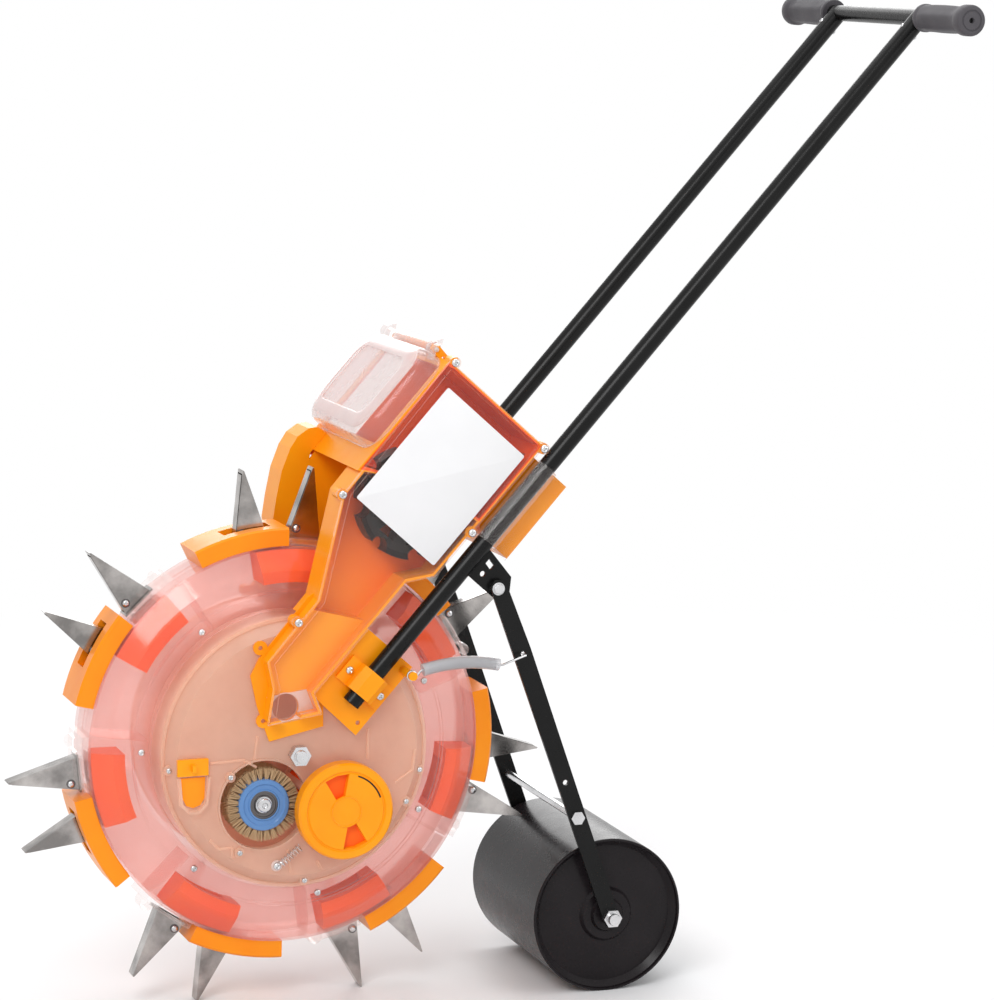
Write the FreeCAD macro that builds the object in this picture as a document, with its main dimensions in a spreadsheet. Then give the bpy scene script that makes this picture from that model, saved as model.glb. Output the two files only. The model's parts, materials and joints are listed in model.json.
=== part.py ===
import FreeCAD, Part
import math
import os
import re

import Sketcher

# A walk-behind duckbill wheel seeder. The machine travels towards -X, +Z is up, and the near side of every
# pair is the side at -Y, which is the machine's left. All sizes are in millimetres.

Vector = FreeCAD.Vector

doc = FreeCAD.newDocument("seeder")
dims = doc.addObject("Spreadsheet::Sheet", "dims")

SIZES = {
    # the wheel's axle, above the ground; the row's origin is under the middle of the machine
    "axle_x": -198.15,
    "axle_height": 270.72,
    # duckbills: two sets of seven, the second one turned by the stagger
    "beak_tip": 285.0,
    "beak_base": 213.0,
    "beak_trail": 16.0,
    "beak_lead": 18.0,
    "beak_width": 18.0,
    "beak_sheet": 1.2,
    "beak_flange": 2.0,
    "flange_half": 11.5,
    "grain_half": 6.5,
    "grain_reach": 12.0,
    "jaw_gap": 0.6,
    "pin_radius": 2.0,
    "pin_fit": 0.05,
    "pin_reach": 221.0,
    "pin_side": 10.5,
    "seed_phase": 18.2143,
    "stagger": 15.0,
    # seats on the drum's rim
    "seat_inner": 206.6,
    "seat_outer": 225.0,
    "seat_half_width": 31.0,
    "seat_behind": 8.8,
    "seat_ahead": 17.2,
    "seat_edge": 2.0,
    "well_half": 12.5,
    "well_behind": 4.0,
    "well_ahead": 12.0,
    # the rotating clear drum
    "drum_radius": 206.4,
    "drum_wall": 2.5,
    "rim_half_width": 33.0,
    "cone_radius": 187.0,
    "drum_half_width": 47.0,
    "flange_outer": 165.0,
    "flange_inner": 146.0,
    "flange_face": 50.5,
    "web_half": 1.5,
    "web_gap": 0.2,
    "fin_lag": 12.0,
    "window_offset": 42.0,
    "screw_circle": 155.5,
    "screw_offset": 12.0,
    "screw_radius": 2.0,
    "screw_head": 4.2,
    # the hub with its drive teeth
    "hub_half_width": 11.0,
    "hub_radius": 22.0,
    "bearing_outer": 17.5,
    "bearing_width": 10.0,
    "gear_teeth": 36,
    "gear_tip": 37.7,
    "gear_root": 33.4,
    "gear_half_width": 9.0,
    "tooth_half_root": 2.2,
    "tooth_half_tip": 0.72,
    # axle
    "axle_radius": 6.0,
    "axle_end": 94.0,
    "axle_fit": 0.05,
    "nut_circle": 11.0,
    "nut_height": 10.0,
    # fixed chambers inside the drum
    "chamber_radius": 139.0,
    "chamber_wall": 2.5,
    "chamber_back": 12.0,
    "chamber_rim": 60.0,
    "cover_rim": 64.0,
    "cover_flat": 126.0,
    "cover_face": 80.0,
    "inlet_x": -14.8,
    "inlet_z": 50.9,
    "boss_radius": 14.0,
    # metering roller, its housing and cap
    "roller_x": 43.73,
    "roller_z": -57.2,
    "roller_angle": -52.6,
    "meter_radius": 41.5,
    "meter_start": 16.0,
    "meter_end": 84.0,
    "cell_radius": 5.0,
    "cell_depth": 6.0,
    "meter_shaft": 5.0,
    "housing_inner": 44.0,
    "housing_outer": 46.5,
    "housing_end": 86.0,
    "cap_radius": 50.0,
    "cap_face": 104.0,
    "cap_skirt": 88.0,
    # brush wheel
    "brush_x": -36.6,
    "brush_z": -49.5,
    "brush_radius": 38.0,
    "brush_hub": 26.5,
    "brush_start": 42.0,
    "brush_end": 82.0,
    "brush_bore": 5.0,
    "brush_well": 46.0,
    # push rods, leaning back on a line through the axle
    "rod_angle": 48.13,
    "rod_side": 101.7,
    "rod_radius": 9.5,
    "rod_bore": 8.2,
    "rod_foot": 73.0,
    "rod_top": 996.0,
    "bar_along": 995.0,
    "bar_radius": 8.5,
    "bar_half": 219.0,
    "grip_radius": 16.0,
    "grip_length": 110.0,
    "grip_lip": 4.0,
    "grip_hole": 2.5,
    # hopper, measured along the rods and across them from the axle
    "hopper_top": 399.0,
    "hopper_front": 153.0,
    "hopper_rear": 17.0,
    "hopper_half": 100.0,
    "hopper_wall": 2.6,
    "arch_radius": 297.0,
    "panel_thick": 3.0,
    "panel_ridge": 3.0,
    "bulge_low": 290.0,
    "bulge_high": 386.0,
    "bulge_rear": -37.0,
    "bulge_half": 84.0,
    "mouth_low": 288.0,
    "mouth_high": 390.0,
    "mouth_half": 86.0,
    "hinge_along": 403.0,
    "hinge_front": 160.0,
    "hinge_radius": 2.5,
    "ear_radius": 6.0,
    "ear_length": 12.0,
    "lid_low": 279.0,
    "lid_high": 397.0,
    "lid_half": 98.0,
    "lid_depth": 25.0,
    "lid_wall": 2.2,
    "clamp_low": 287.0,
    "clamp_length": 98.0,
    "clamp_skin": 2.6,
    "lug_thick": 6.0,
    # feed rotor behind the near panel
    "rotor_along": 268.0,
    "rotor_front": 80.0,
    "rotor_radius": 57.0,
    "rotor_start": 64.0,
    "rotor_end": 92.0,
    "rotor_pin": 4.0,
    # chutes
    "chute_inner": 57.0,
    "chute_step": 80.2,
    "chute_turn": 146.0,
    "lug_along": 133.6,
    "lug_radius": 4.5,
    "saddle_low": 84.0,
    "saddle_high": 112.0,
    "saddle_half": 28.0,
    "saddle_wall": 4.0,
    "lug_front": -25.0,
    # sprung press roller, its arms and their brackets
    "pivot_x": 203.0,
    "pivot_z": 165.3,
    "pivot_radius": 4.0,
    "press_x": 330.2,
    "press_z": -189.32,
    "press_radius": 81.4,
    "press_half": 99.0,
    "press_shaft": 6.0,
    "arm_inner": 106.5,
    "arm_thick": 4.0,
    "cross_x": 291.0,
    "cross_z": -79.7,
    "cross_radius": 4.0,
    "hook_x": 230.4,
    "hook_z": 96.3,
    "spring_side": 120.0,
    "spring_sleeve": 6.5,
    "spring_bow": 172.7,
    "spring_x": 162.4,
    "spring_z": -79.5,
    "spring_start": 77.3,
    "spring_sweep": 27.2,
    "lug_x": 107.8,
    "lug_z": 82.8,
    "wire_radius": 1.3,
    "chute_wall": 2.6,
    "waist_along": 227.0,
    "waist_front": 149.0,
    "neck_along": 130.0,
    "neck_front": 97.0,
    "heel_along": 50.0,
    "toe_along": 33.0,
    "toe_front": 73.0,
    "outlet_front": 53.0,
    "outlet_rear_along": 46.0,
    "outlet_rear": 17.0,
    "back_low_along": 57.0,
    "back_front": 37.0,
    "back_high_along": 203.0,
}


def fill_sheet():
    """Write every driving dimension into the sheet, its name in one column and its number in the next."""
    for row, (name, number) in enumerate(SIZES.items(), start=1):
        dims.set(f"A{row}", name)
        dims.set(f"B{row}", str(number))
        dims.setAlias(f"B{row}", name)
    doc.recompute()


def size(name):
    """Read one driving dimension back from the sheet."""
    return float(dims.get(name))


def formula(text):
    """Put the sheet's name before each alias in an expression."""
    return re.sub(r"[a-z_]\w*", lambda word: "dims." + word.group() if word.group() in SIZES else word.group(),
                  str(text))


def number(text):
    """Work out what an expression gives."""
    return float(dims.evalExpression(formula(text)))


def bind(thing, **expressions):
    """Bind properties of an object to expressions in the sheet's aliases."""
    for name, text in expressions.items():
        thing.setExpression(name, formula(text))


class Piece:
    """A body that is built from sketches. Depths count towards the near side, -Y."""

    def __init__(self, label):
        self.body = doc.addObject("PartDesign::Body", label)
        self.body.Label = label
        self.body.AllowCompound = True

    def sketch(self, plane, depth="0"):
        """A sketch on one of the body's own origin planes, set off along the plane's normal."""
        sketch = self.body.newObject("Sketcher::SketchObject", self.body.Name + "_sketch")
        support = [face for face in self.body.Origin.OriginFeatures if face.Role == plane][0]
        sketch.AttachmentSupport = [(support, "")]
        sketch.MapMode = "FlatFace"
        sketch.AttachmentOffset = FreeCAD.Placement(Vector(0, 0, number(depth)), FreeCAD.Rotation())
        if re.search("[a-z]", depth):
            sketch.setExpression("AttachmentOffset.Base.z", formula(depth))
        return sketch

    def outline(self, sketch, corners):
        """Close a polygon through corners that are given as pairs of expressions."""
        first = sketch.GeometryCount
        points = [Vector(number(across), number(up), 0) for across, up in corners]
        count = len(points)
        for i in range(count):
            sketch.addGeometry(Part.LineSegment(points[i], points[(i + 1) % count]))
        for i in range(count):
            sketch.addConstraint(Sketcher.Constraint("Coincident", first + i, 2, first + (i + 1) % count, 1))
        for i, corner in enumerate(corners):
            self.pin_point(sketch, first + i, 1, corner, points[i])
        return sketch

    def pin_point(self, sketch, edge, end, corner, point):
        """Hold one point of an edge at its two expressions, measured from the sketch's origin."""
        for direction, text, place in zip(("DistanceX", "DistanceY"), corner, (point.x, point.y)):
            index = sketch.addConstraint(Sketcher.Constraint(direction, -1, 1, edge, end, place))
            if re.search("[a-z]", str(text)):
                sketch.setExpression(f"Constraints[{index}]", formula(text))

    def circle(self, sketch, across, up, radius):
        """Add a circle with a bound centre and radius."""
        edge = sketch.addGeometry(
            Part.Circle(Vector(number(across), number(up), 0), Vector(0, 0, 1), number(radius)))
        self.pin_point(sketch, edge, 3, (across, up), Vector(number(across), number(up), 0))
        index = sketch.addConstraint(Sketcher.Constraint("Radius", edge, number(radius)))
        sketch.setExpression(f"Constraints[{index}]", formula(radius))
        return sketch

    def many_sided(self, sketch, across, up, radius, sides=8):
        """Add a regular polygon: small bores and ears that repeat are drawn so, to keep their faces few."""
        corners = []
        for step in range(sides):
            turned = 2 * math.pi * step / sides
            corners.append((f"{across} + ({radius}) * {math.cos(turned):.4f}",
                            f"{up} + ({radius}) * {math.sin(turned):.4f}"))
        return self.outline(sketch, corners)

    def feature(self, kind, sketch, length, both):
        made = self.body.newObject("PartDesign::" + kind, self.body.Name + "_" + kind.lower())
        made.Profile = sketch
        made.setExpression("Length", formula(length))
        made.Midplane = both
        return made

    def pad(self, sketch, length, both=False):
        """Raise a sketch along its normal, or half of it each way."""
        return self.feature("Pad", sketch, length, both)

    def pocket(self, sketch, length, both=False):
        """Cut a sketch against its normal, or half of it each way."""
        return self.feature("Pocket", sketch, length, both)

    def turn(self, corners, behind=None, ahead=None):
        """Revolve a (radius, y) outline about the body's Y axis, all round or between two angles."""
        sketch = self.outline(self.sketch("XY_Plane"), corners)
        made = self.body.newObject("PartDesign::Revolution", self.body.Name + "_turned")
        made.Profile = sketch
        made.ReferenceAxis = (sketch, ["V_Axis"])
        if behind is None:
            made.Angle = 360
        else:
            made.Type = "TwoAngles"
            made.setExpression("Angle", formula(behind))
            made.setExpression("Angle2", formula(ahead))
        return made

    def skin(self, kind, sections):
        """Loft through sketches, straight from one to the next."""
        made = self.body.newObject("PartDesign::" + kind, self.body.Name + "_loft")
        made.Profile = sections[0]
        made.Sections = sections[1:]
        made.Ruled = True
        return made

    def around(self, originals, count):
        """Repeat features evenly about the body's Y axis."""
        made = self.body.newObject("PartDesign::PolarPattern", self.body.Name + "_ring")
        made.Originals = originals
        axis = [line for line in self.body.Origin.OriginFeatures if line.Role == "Y_Axis"][0]
        made.Axis = (axis, [""])
        made.Angle = 360
        made.Occurrences = count
        self.body.Tip = made
        return made

    def finish(self, angle=0.0, across="0", up="0"):
        """Set the body on the axle, turned by an angle in the XZ plane."""
        return on_axle(self.body, angle, across, up)


def on_axle(thing, angle=0.0, across="0", up="0"):
    """Place an object by the axle: turned anticlockwise as seen from the near side, then set off."""
    thing.Placement = FreeCAD.Placement(Vector(), FreeCAD.Rotation(Vector(0, 1, 0), -angle))
    thing.setExpression("Placement.Base.x", formula(f"axle_x + {across}"))
    thing.setExpression("Placement.Base.z", formula(f"axle_height + {up}"))
    return thing


def with_rods(thing):
    """Place an object in the rods' frame: X runs up along them and Z leans forward."""
    return on_axle(thing, size("rod_angle"))


def near(thing, across, start, up):
    """Set a primitive at a depth towards the near side, its own Z turned to point there."""
    thing.Placement = FreeCAD.Placement(Vector(), FreeCAD.Rotation(Vector(1, 0, 0), 90))
    thing.setExpression("Placement.Base.x", formula(across))
    thing.setExpression("Placement.Base.y", formula(f"-({start})"))
    thing.setExpression("Placement.Base.z", formula(up))
    return thing


def disc(across, up, start, radius, height):
    """A cylinder that runs towards the near side from a depth."""
    made = doc.addObject("Part::Cylinder", "disc")
    bind(made, Radius=radius, Height=height)
    return near(made, across, start, up)


def peg(across, up, start, radius, height, sides=8):
    """A many-sided peg that runs towards the near side from a depth."""
    made = doc.addObject("Part::Prism", "peg")
    made.Polygon = sides
    bind(made, Circumradius=radius, Height=height)
    return near(made, across, start, up)


def tube_x(start, side, up, radius, length):
    """A cylinder along X, its axis at a depth towards the near side."""
    made = doc.addObject("Part::Cylinder", "rod")
    bind(made, Radius=radius, Height=length)
    made.Placement = FreeCAD.Placement(Vector(), FreeCAD.Rotation(Vector(0, 1, 0), 90))
    made.setExpression("Placement.Base.x", formula(start))
    made.setExpression("Placement.Base.y", formula(f"-({side})"))
    made.setExpression("Placement.Base.z", formula(up))
    return made


def block(low, high):
    """A box between two corners (x, depth, z); the depth counts towards the near side."""
    made = doc.addObject("Part::Box", "block")
    bind(made, Length=f"({high[0]}) - ({low[0]})", Width=f"({high[1]}) - ({low[1]})",
         Height=f"({high[2]}) - ({low[2]})")
    made.setExpression("Placement.Base.x", formula(low[0]))
    made.setExpression("Placement.Base.y", formula(f"-({high[1]})"))
    made.setExpression("Placement.Base.z", formula(low[2]))
    return made


def joined(label, pieces):
    """Fuse pieces into one."""
    made = doc.addObject("Part::MultiFuse", label)
    made.Shapes = pieces
    made.Label = label
    return made


def carved(label, base, tools):
    """Cut tools out of a base."""
    made = doc.addObject("Part::Cut", label)
    made.Base = base
    made.Tool = tools[0] if len(tools) == 1 else joined(label + "_tools", tools)
    made.Label = label
    return made


def group(label, pieces):
    """Keep separate solids in one sub-part."""
    made = doc.addObject("Part::Compound", label)
    made.Links = pieces
    made.Label = label
    return made


def mirrored(label, source):
    """The far side's copy of a near piece."""
    made = doc.addObject("Part::Mirroring", label)
    made.Source = source
    made.Normal = Vector(0, 1, 0)
    made.Label = label
    return made


BEAK_PITCH = 360 / 7
# the corners of an eight-sided bore whose flats just clear the round pin
BORE_CORNER = f"(pin_radius + pin_fit) * {1 / math.cos(math.pi / 8):.4f}"


def seed_angle(index):
    """The direction of a beak of the first set; the wheel stands on one beak of each set."""
    return -90 + size("seed_phase") + BEAK_PITCH * index


def feed_angle(index):
    """The direction of a beak of the second set."""
    return seed_angle(index) + size("stagger")


def grain_hole(piece, sketch):
    """The outline of the hole that grain falls through, in a flange or in a seat."""
    piece.outline(sketch, [("-grain_half", "-grain_reach"), ("grain_half", "-grain_reach"),
                           ("grain_half", "grain_reach"), ("-grain_half", "grain_reach")])


def beak_set(angle):
    """Seven fixed beaks: folded sheet wedges, open on the leading side, each on a flange with a grain hole."""
    beak = Piece("beak_set")
    wedge = beak.outline(beak.sketch("XZ_Plane"), [
        ("beak_base", "-beak_trail"), ("beak_tip - 1", "-0.9"), ("beak_tip", "0"), ("beak_tip - 1", "0.9"),
        ("beak_base", "beak_lead")])
    solid = beak.pad(wedge, "beak_width", both=True)
    hollow = beak.outline(beak.sketch("XZ_Plane"), [
        ("beak_base - 1", "beak_sheet * 1.05 - beak_trail - 0.2"), ("beak_tip - 3.5", "0.2"),
        ("beak_tip - 3.5", "beak_lead + 4"), ("beak_base - 1", "beak_lead + 4")])
    channel = beak.pocket(hollow, "beak_width - 2 * beak_sheet", both=True)
    plate = beak.sketch("YZ_Plane", "beak_base - beak_flange")
    beak.outline(plate, [("-flange_half", "-beak_trail - 3"), ("flange_half", "-beak_trail - 3"),
                         ("flange_half", "beak_lead + 2"), ("-flange_half", "beak_lead + 2")])
    grain_hole(beak, plate)
    flange = beak.pad(plate, "beak_flange")
    hinge = beak.many_sided(beak.sketch("XZ_Plane"), "pin_reach", "pin_side", BORE_CORNER)
    bore = beak.pocket(hinge, "beak_width + 4", both=True)
    beak.around([solid, channel, flange, bore], 7)
    return beak.finish(angle)


def make_fixed_beaks():
    return group("fixed_beaks", [beak_set(seed_angle(0)), beak_set(feed_angle(0))])


def make_jaw(label, angle):
    """The moving beak, nested in the fixed one and pinned near its base, with its face on the leading side."""
    jaw = Piece(label)
    wedge = jaw.outline(jaw.sketch("XZ_Plane"), [
        ("beak_base + 4", "3"), ("beak_base + 10", "-9.3"), ("beak_tip - 5", "1.2"), ("beak_tip - 4.5", "2.4"),
        ("beak_base + 4", "beak_lead - 0.6")])
    jaw.pad(wedge, "beak_width - 2 * beak_sheet - 2 * jaw_gap", both=True)
    hollow = jaw.outline(jaw.sketch("XZ_Plane"), [
        ("beak_base - 2", "-20"), ("beak_tip - 9", "-20"), ("beak_tip - 9", "2.2"),
        ("beak_base - 2", "beak_lead - 0.4")])
    jaw.pocket(hollow, "beak_width - 4 * beak_sheet - 2 * jaw_gap", both=True)
    hinge = jaw.many_sided(jaw.sketch("XZ_Plane"), "pin_reach", "pin_side", BORE_CORNER)
    jaw.pocket(hinge, "beak_width + 4", both=True)
    return jaw.finish(angle)


def make_jaws():
    made = []
    for index in range(7):
        made.append(make_jaw(f"seed_jaw_{index + 1}", seed_angle(index)))
        made.append(make_jaw(f"feed_jaw_{index + 1}", feed_angle(index)))
    return made


def pin_set(angle):
    """Seven round hinge pins that stand a little out of the beaks' sides."""
    pin = Piece("pin_set")
    shank = pin.pad(pin.circle(pin.sketch("XZ_Plane"), "pin_reach", "pin_side", "pin_radius"),
                    "beak_width + 3", both=True)
    pin.around([shank], 7)
    return pin.finish(angle)


def make_jaw_pins():
    return group("jaw_pins", [pin_set(seed_angle(0)), pin_set(feed_angle(0))])


def seat_well(seat):
    """The well that a beak's flange sits in, and the grain hole through its floor."""
    well = seat.sketch("YZ_Plane", "seat_outer + 10")
    seat.outline(well, [("-well_half", "-beak_trail - well_behind"), ("well_half", "-beak_trail - well_behind"),
                        ("well_half", "beak_lead + well_ahead"), ("-well_half", "beak_lead + well_ahead")])
    recess = seat.pocket(well, "seat_outer + 10 - beak_base + beak_flange")
    drop = seat.sketch("YZ_Plane", "seat_outer + 10")
    grain_hole(seat, drop)
    return [recess, seat.pocket(drop, "40")]


def make_orange_seats():
    """Seven blocks on the rim, their outer edges bevelled, each with a well for a beak of the second set."""
    seat = Piece("orange_seats")
    block_part = seat.turn([
        ("seat_inner", "-seat_half_width"), ("seat_outer - seat_edge", "-seat_half_width"),
        ("seat_outer", "seat_edge - seat_half_width"), ("seat_outer", "seat_half_width - seat_edge"),
        ("seat_outer - seat_edge", "seat_half_width"), ("seat_inner", "seat_half_width")],
        behind="seat_behind", ahead="seat_ahead")
    seat.around([block_part] + seat_well(seat), 7)
    return seat.finish(feed_angle(0))


def make_clear_seats():
    """Seven thin clear seats, each with a rounded spring cover behind its beak."""
    seat = Piece("clear_seats")
    plate = seat.turn([("seat_inner", "-seat_half_width"), ("beak_base - beak_flange + 2", "-seat_half_width"),
                       ("beak_base - beak_flange + 2", "seat_half_width"), ("seat_inner", "seat_half_width")],
                      behind="11", ahead="4.4")
    openings = seat_well(seat)
    cover = seat.pad(seat.circle(seat.sketch("XZ_Plane"), "beak_base", "-30", "7"), "24", both=True)
    seat.around([plate] + openings + [cover], 7)
    return seat.finish(seed_angle(0))


def make_drum_half(label, angle):
    """One clear half of the drum: rim, cone, stepped face and screw flange, with seven partition walls."""
    drum = Piece(label)
    drum.turn([
        ("drum_radius", "-web_half - web_gap"), ("drum_radius", "-rim_half_width"),
        ("cone_radius", "-drum_half_width"), ("flange_outer", "-drum_half_width"),
        ("flange_outer", "-flange_face"), ("flange_inner", "-flange_face"),
        ("flange_inner", "drum_wall - flange_face"), ("flange_outer - drum_wall", "drum_wall - flange_face"),
        ("flange_outer - drum_wall", "drum_wall - drum_half_width"),
        ("cone_radius - 1", "drum_wall - drum_half_width"),
        ("drum_radius - drum_wall", "1.2 - rim_half_width"),
        ("drum_radius - drum_wall", "-web_half - web_gap")])
    wall = drum.outline(drum.sketch("XY_Plane"), [
        ("flange_inner + 4", "-web_half - 1"), ("drum_radius - 1", "-web_half - 1"),
        ("drum_radius - 1", "0.5 - rim_half_width"), ("cone_radius - 0.5", "1 - drum_half_width"),
        ("flange_outer - 1", "1 - drum_half_width"), ("flange_outer - 1", "1 - flange_face"),
        ("flange_inner + 4", "1 - flange_face")])
    fin = drum.pad(wall, "2", both=True)
    window = drum.sketch("YZ_Plane", "drum_radius + 5")
    drum.outline(window, [("-6.5", "window_offset - 12"), ("0", "window_offset - 12"),
                          ("0", "window_offset + 12"), ("-6.5", "window_offset + 12")])
    notch = drum.pocket(window, "25")
    site = drum.many_sided(drum.sketch("XZ_Plane", "flange_face + 1"), "screw_circle", "screw_offset",
                           "screw_radius + pin_fit")
    hole = drum.pocket(site, "drum_wall + 2")
    drum.around([fin, notch, hole], 7)
    return drum.finish(angle - size("fin_lag"))


def make_far_drum_half():
    return mirrored("far_drum_half", make_drum_half("far_drum_source", feed_angle(0)))


def make_drum_hub():
    """The centre web and the hub, with the drive teeth that both metering gears run on."""
    hub = Piece("drum_hub")
    hub.turn([
        ("bearing_outer", "-hub_half_width"), ("hub_radius", "-hub_half_width"),
        ("hub_radius", "-gear_half_width"), ("gear_root", "-gear_half_width"), ("gear_root", "-web_half"),
        ("drum_radius - drum_wall - 0.3", "-web_half"), ("drum_radius - drum_wall - 0.3", "web_half"),
        ("gear_root", "web_half"), ("gear_root", "gear_half_width"), ("hub_radius", "gear_half_width"),
        ("hub_radius", "hub_half_width"), ("bearing_outer", "hub_half_width")])
    tooth = hub.pad(gear_tooth(hub, "0"), "2 * gear_half_width", both=True)
    hub.around([tooth], int(size("gear_teeth")))
    return hub.finish(size("roller_angle"))


def gear_tooth(piece, depth):
    """One straight-sided tooth, drawn on the X axis."""
    return piece.outline(piece.sketch("XZ_Plane", depth), [
        ("gear_root - 0.5", "-tooth_half_root"), ("gear_tip", "-tooth_half_tip"),
        ("gear_tip", "tooth_half_tip"), ("gear_root - 0.5", "tooth_half_root")])


def make_wheel_bearings():
    """Two ball bearings, each drawn as one shielded ring."""
    ring = Piece("wheel_bearings")
    for low in ("-bearing_width - 0.5", "0.5"):
        high = f"{low} + bearing_width"
        ring.turn([("axle_radius + axle_fit", low), ("bearing_outer - 0.02", low),
                   ("bearing_outer - 0.02", high), ("axle_radius + axle_fit", high)])
    return ring.finish()


def make_inner_chutes():
    """Seven orange guides inside the near half, one beside each clear seat."""
    guide = Piece("inner_chutes")
    shell = guide.turn([
        ("flange_outer + 6", "-drum_half_width + 4"), ("cone_radius - 4", "-drum_half_width + 4"),
        ("drum_radius - drum_wall - 1", "-rim_half_width + 3"),
        ("drum_radius - drum_wall - 1", "-web_half - 2"), ("flange_outer + 6", "-web_half - 2")],
        behind="6.5", ahead="16")
    core = guide.outline(guide.sketch("YZ_Plane", "drum_radius"), [
        ("-28", "-12"), ("-5", "-12"), ("-5", "34"), ("-28", "34")])
    hollow = guide.pocket(core, "60")
    guide.around([shell, hollow], 7)
    return guide.finish(seed_angle(0))


def make_axle():
    return on_axle(group("axle", [disc("0", "0", "-axle_end", "axle_radius", "2 * axle_end")]))


def hex_nut(start, across="0", up="0", circle="nut_circle", bore="axle_radius + 0.02", height="nut_height"):
    """A hexagon nut that runs towards the near side from a depth."""
    made = doc.addObject("Part::Prism", "nut")
    made.Polygon = 6
    bind(made, Circumradius=circle, Height=height)
    near(made, across, start, up)
    return carved("nut_cut", made, [disc(across, up, f"{start} - 1", bore, f"{height} + 2")])


def make_axle_nuts():
    return on_axle(group("axle_nuts", [hex_nut("cover_face + 0.2"),
                                       hex_nut("-cover_face - 0.2 - nut_height")]))


def make_near_chamber():
    """The fixed grain chamber: a shallow pot with the roller's housing and the brush's post."""
    pot = carved("pot", disc("0", "0", "chamber_back", "chamber_radius", "chamber_rim - chamber_back"),
                 [disc("0", "0", "chamber_back + chamber_wall", "chamber_radius - chamber_wall", "100")])
    boss = disc("0", "0", "chamber_back", "boss_radius", "chamber_rim - chamber_back - 2")
    housing = carved("housing", disc("roller_x", "roller_z", "chamber_back", "housing_outer",
                                     "housing_end - chamber_back"),
                     [disc("roller_x", "roller_z", "chamber_back + chamber_wall", "housing_inner", "100")])
    open_side = disc("brush_x", "brush_z", "chamber_back + chamber_wall", "brush_radius + 3.5", "100")
    inlet = block(("roller_x - 38", "chamber_back + 8", "roller_z + 20"),
                  ("roller_x + 25", "housing_end - 12", "roller_z + 60"))
    walls = joined("walls", [pot, boss, carved("housing_open", housing, [open_side, inlet])])
    post = disc("brush_x", "brush_z", "chamber_back", "9", "brush_start - chamber_back - 1")
    outlet = block(("60", "chamber_back + 8", "-15"), ("150", "chamber_rim - 6", "15"))
    turned = doc.addObject("Part::Compound", "outlet_turned")
    turned.Links = [outlet]
    turned.Placement = FreeCAD.Placement(Vector(), FreeCAD.Rotation(Vector(0, 1, 0), -size("roller_angle")))
    holes = [disc("0", "0", "0", "axle_radius + axle_fit", "200"),
             disc("roller_x", "roller_z", "0", "meter_shaft + pin_fit", "30"),
             disc("brush_x", "brush_z", "0", "brush_bore", "100"), turned]
    return on_axle(carved("near_chamber", joined("chamber_solid", [walls, post]), holes))


def make_chamber_cover(label):
    """The chamber's dished front, with holes for the roller housing, the brush, the axle and the chute."""
    cover = Piece(label)
    cover.turn([
        ("axle_radius + axle_fit", "-cover_face"), ("cover_flat", "-cover_face"),
        ("chamber_radius", "-cover_rim"), ("chamber_radius", "-chamber_rim - 0.1"),
        ("chamber_radius - chamber_wall", "-chamber_rim - 0.1"),
        ("chamber_radius - chamber_wall", "-cover_rim + 0.9"), ("cover_flat - 1", "chamber_wall - cover_face"),
        ("axle_radius + axle_fit", "chamber_wall - cover_face")])
    holes = cover.sketch("XZ_Plane", "cover_face + 5")
    cover.circle(holes, "roller_x", "roller_z", "housing_outer + 0.3")
    cover.pocket(holes, "30")
    well = cover.sketch("XZ_Plane", "cover_face + 5")
    cover.circle(well, "brush_x", "brush_z", "brush_well")
    cover.pocket(well, "30")
    inlet = cover.sketch("XZ_Plane", "cover_face + 5")
    cover.circle(inlet, "inlet_x", "inlet_z", "13.5")
    cover.pocket(inlet, "30")
    lip = cover.sketch("XZ_Plane", "cover_face - 9")
    cover.circle(lip, "brush_x", "brush_z", "brush_well")
    cover.circle(lip, "brush_x", "brush_z", "brush_well + 2")
    rim = cover.pad(lip, "11")
    outside = cover.sketch("XZ_Plane", "cover_face + 4")
    cover.circle(outside, "roller_x", "roller_z", "housing_outer + 0.3")
    cover.pocket(outside, "30")
    return cover


def make_near_chamber_cover():
    """The near cover also has the slot of the clean-out plug and a small U-shaped guard below it."""
    cover = make_chamber_cover("near_chamber_cover")
    slot = cover.outline(cover.sketch("XZ_Plane", "cover_face + 5"), [
        ("-119.3", "-9.8"), ("-102.7", "-9.8"), ("-102.7", "-1.2"), ("-119.3", "-1.2")])
    cover.pocket(slot, "10")
    guard = cover.sketch("XZ_Plane", "cover_face")
    cover.outline(guard, [("-127", "-16"), ("-124", "-16"), ("-122", "-42"), ("-114", "-50"), ("-106", "-50"),
                          ("-99", "-42"), ("-96", "-16"), ("-93", "-16"), ("-96", "-44"), ("-105", "-53"),
                          ("-115", "-53"), ("-125", "-44")])
    cover.pad(guard, "6")
    return cover.finish()


def make_far_chamber_cover():
    return mirrored("far_chamber_cover", make_chamber_cover("far_cover_source").finish())


def make_metering_roller():
    """The roller that carries grain in two rows of seven cells, on a shaft with a seat for its gear."""
    roller = Piece("near_metering_roller")
    roller.turn([
        ("0", "-housing_end - 8"), ("meter_shaft", "-housing_end - 8"), ("meter_shaft", "-meter_end"),
        ("meter_radius", "-meter_end"), ("meter_radius", "-meter_start"), ("meter_shaft", "-meter_start"),
        ("meter_shaft", "-3.2"), ("0", "-3.2")])
    cells = roller.sketch("YZ_Plane", "meter_radius + 4")
    for row in ("-38", "-62"):
        roller.many_sided(cells, row, "0", "cell_radius")
    pockets = roller.pocket(cells, "cell_depth + 4")
    roller.around([pockets], 7)
    return roller.finish(0, "roller_x", "roller_z")


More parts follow.
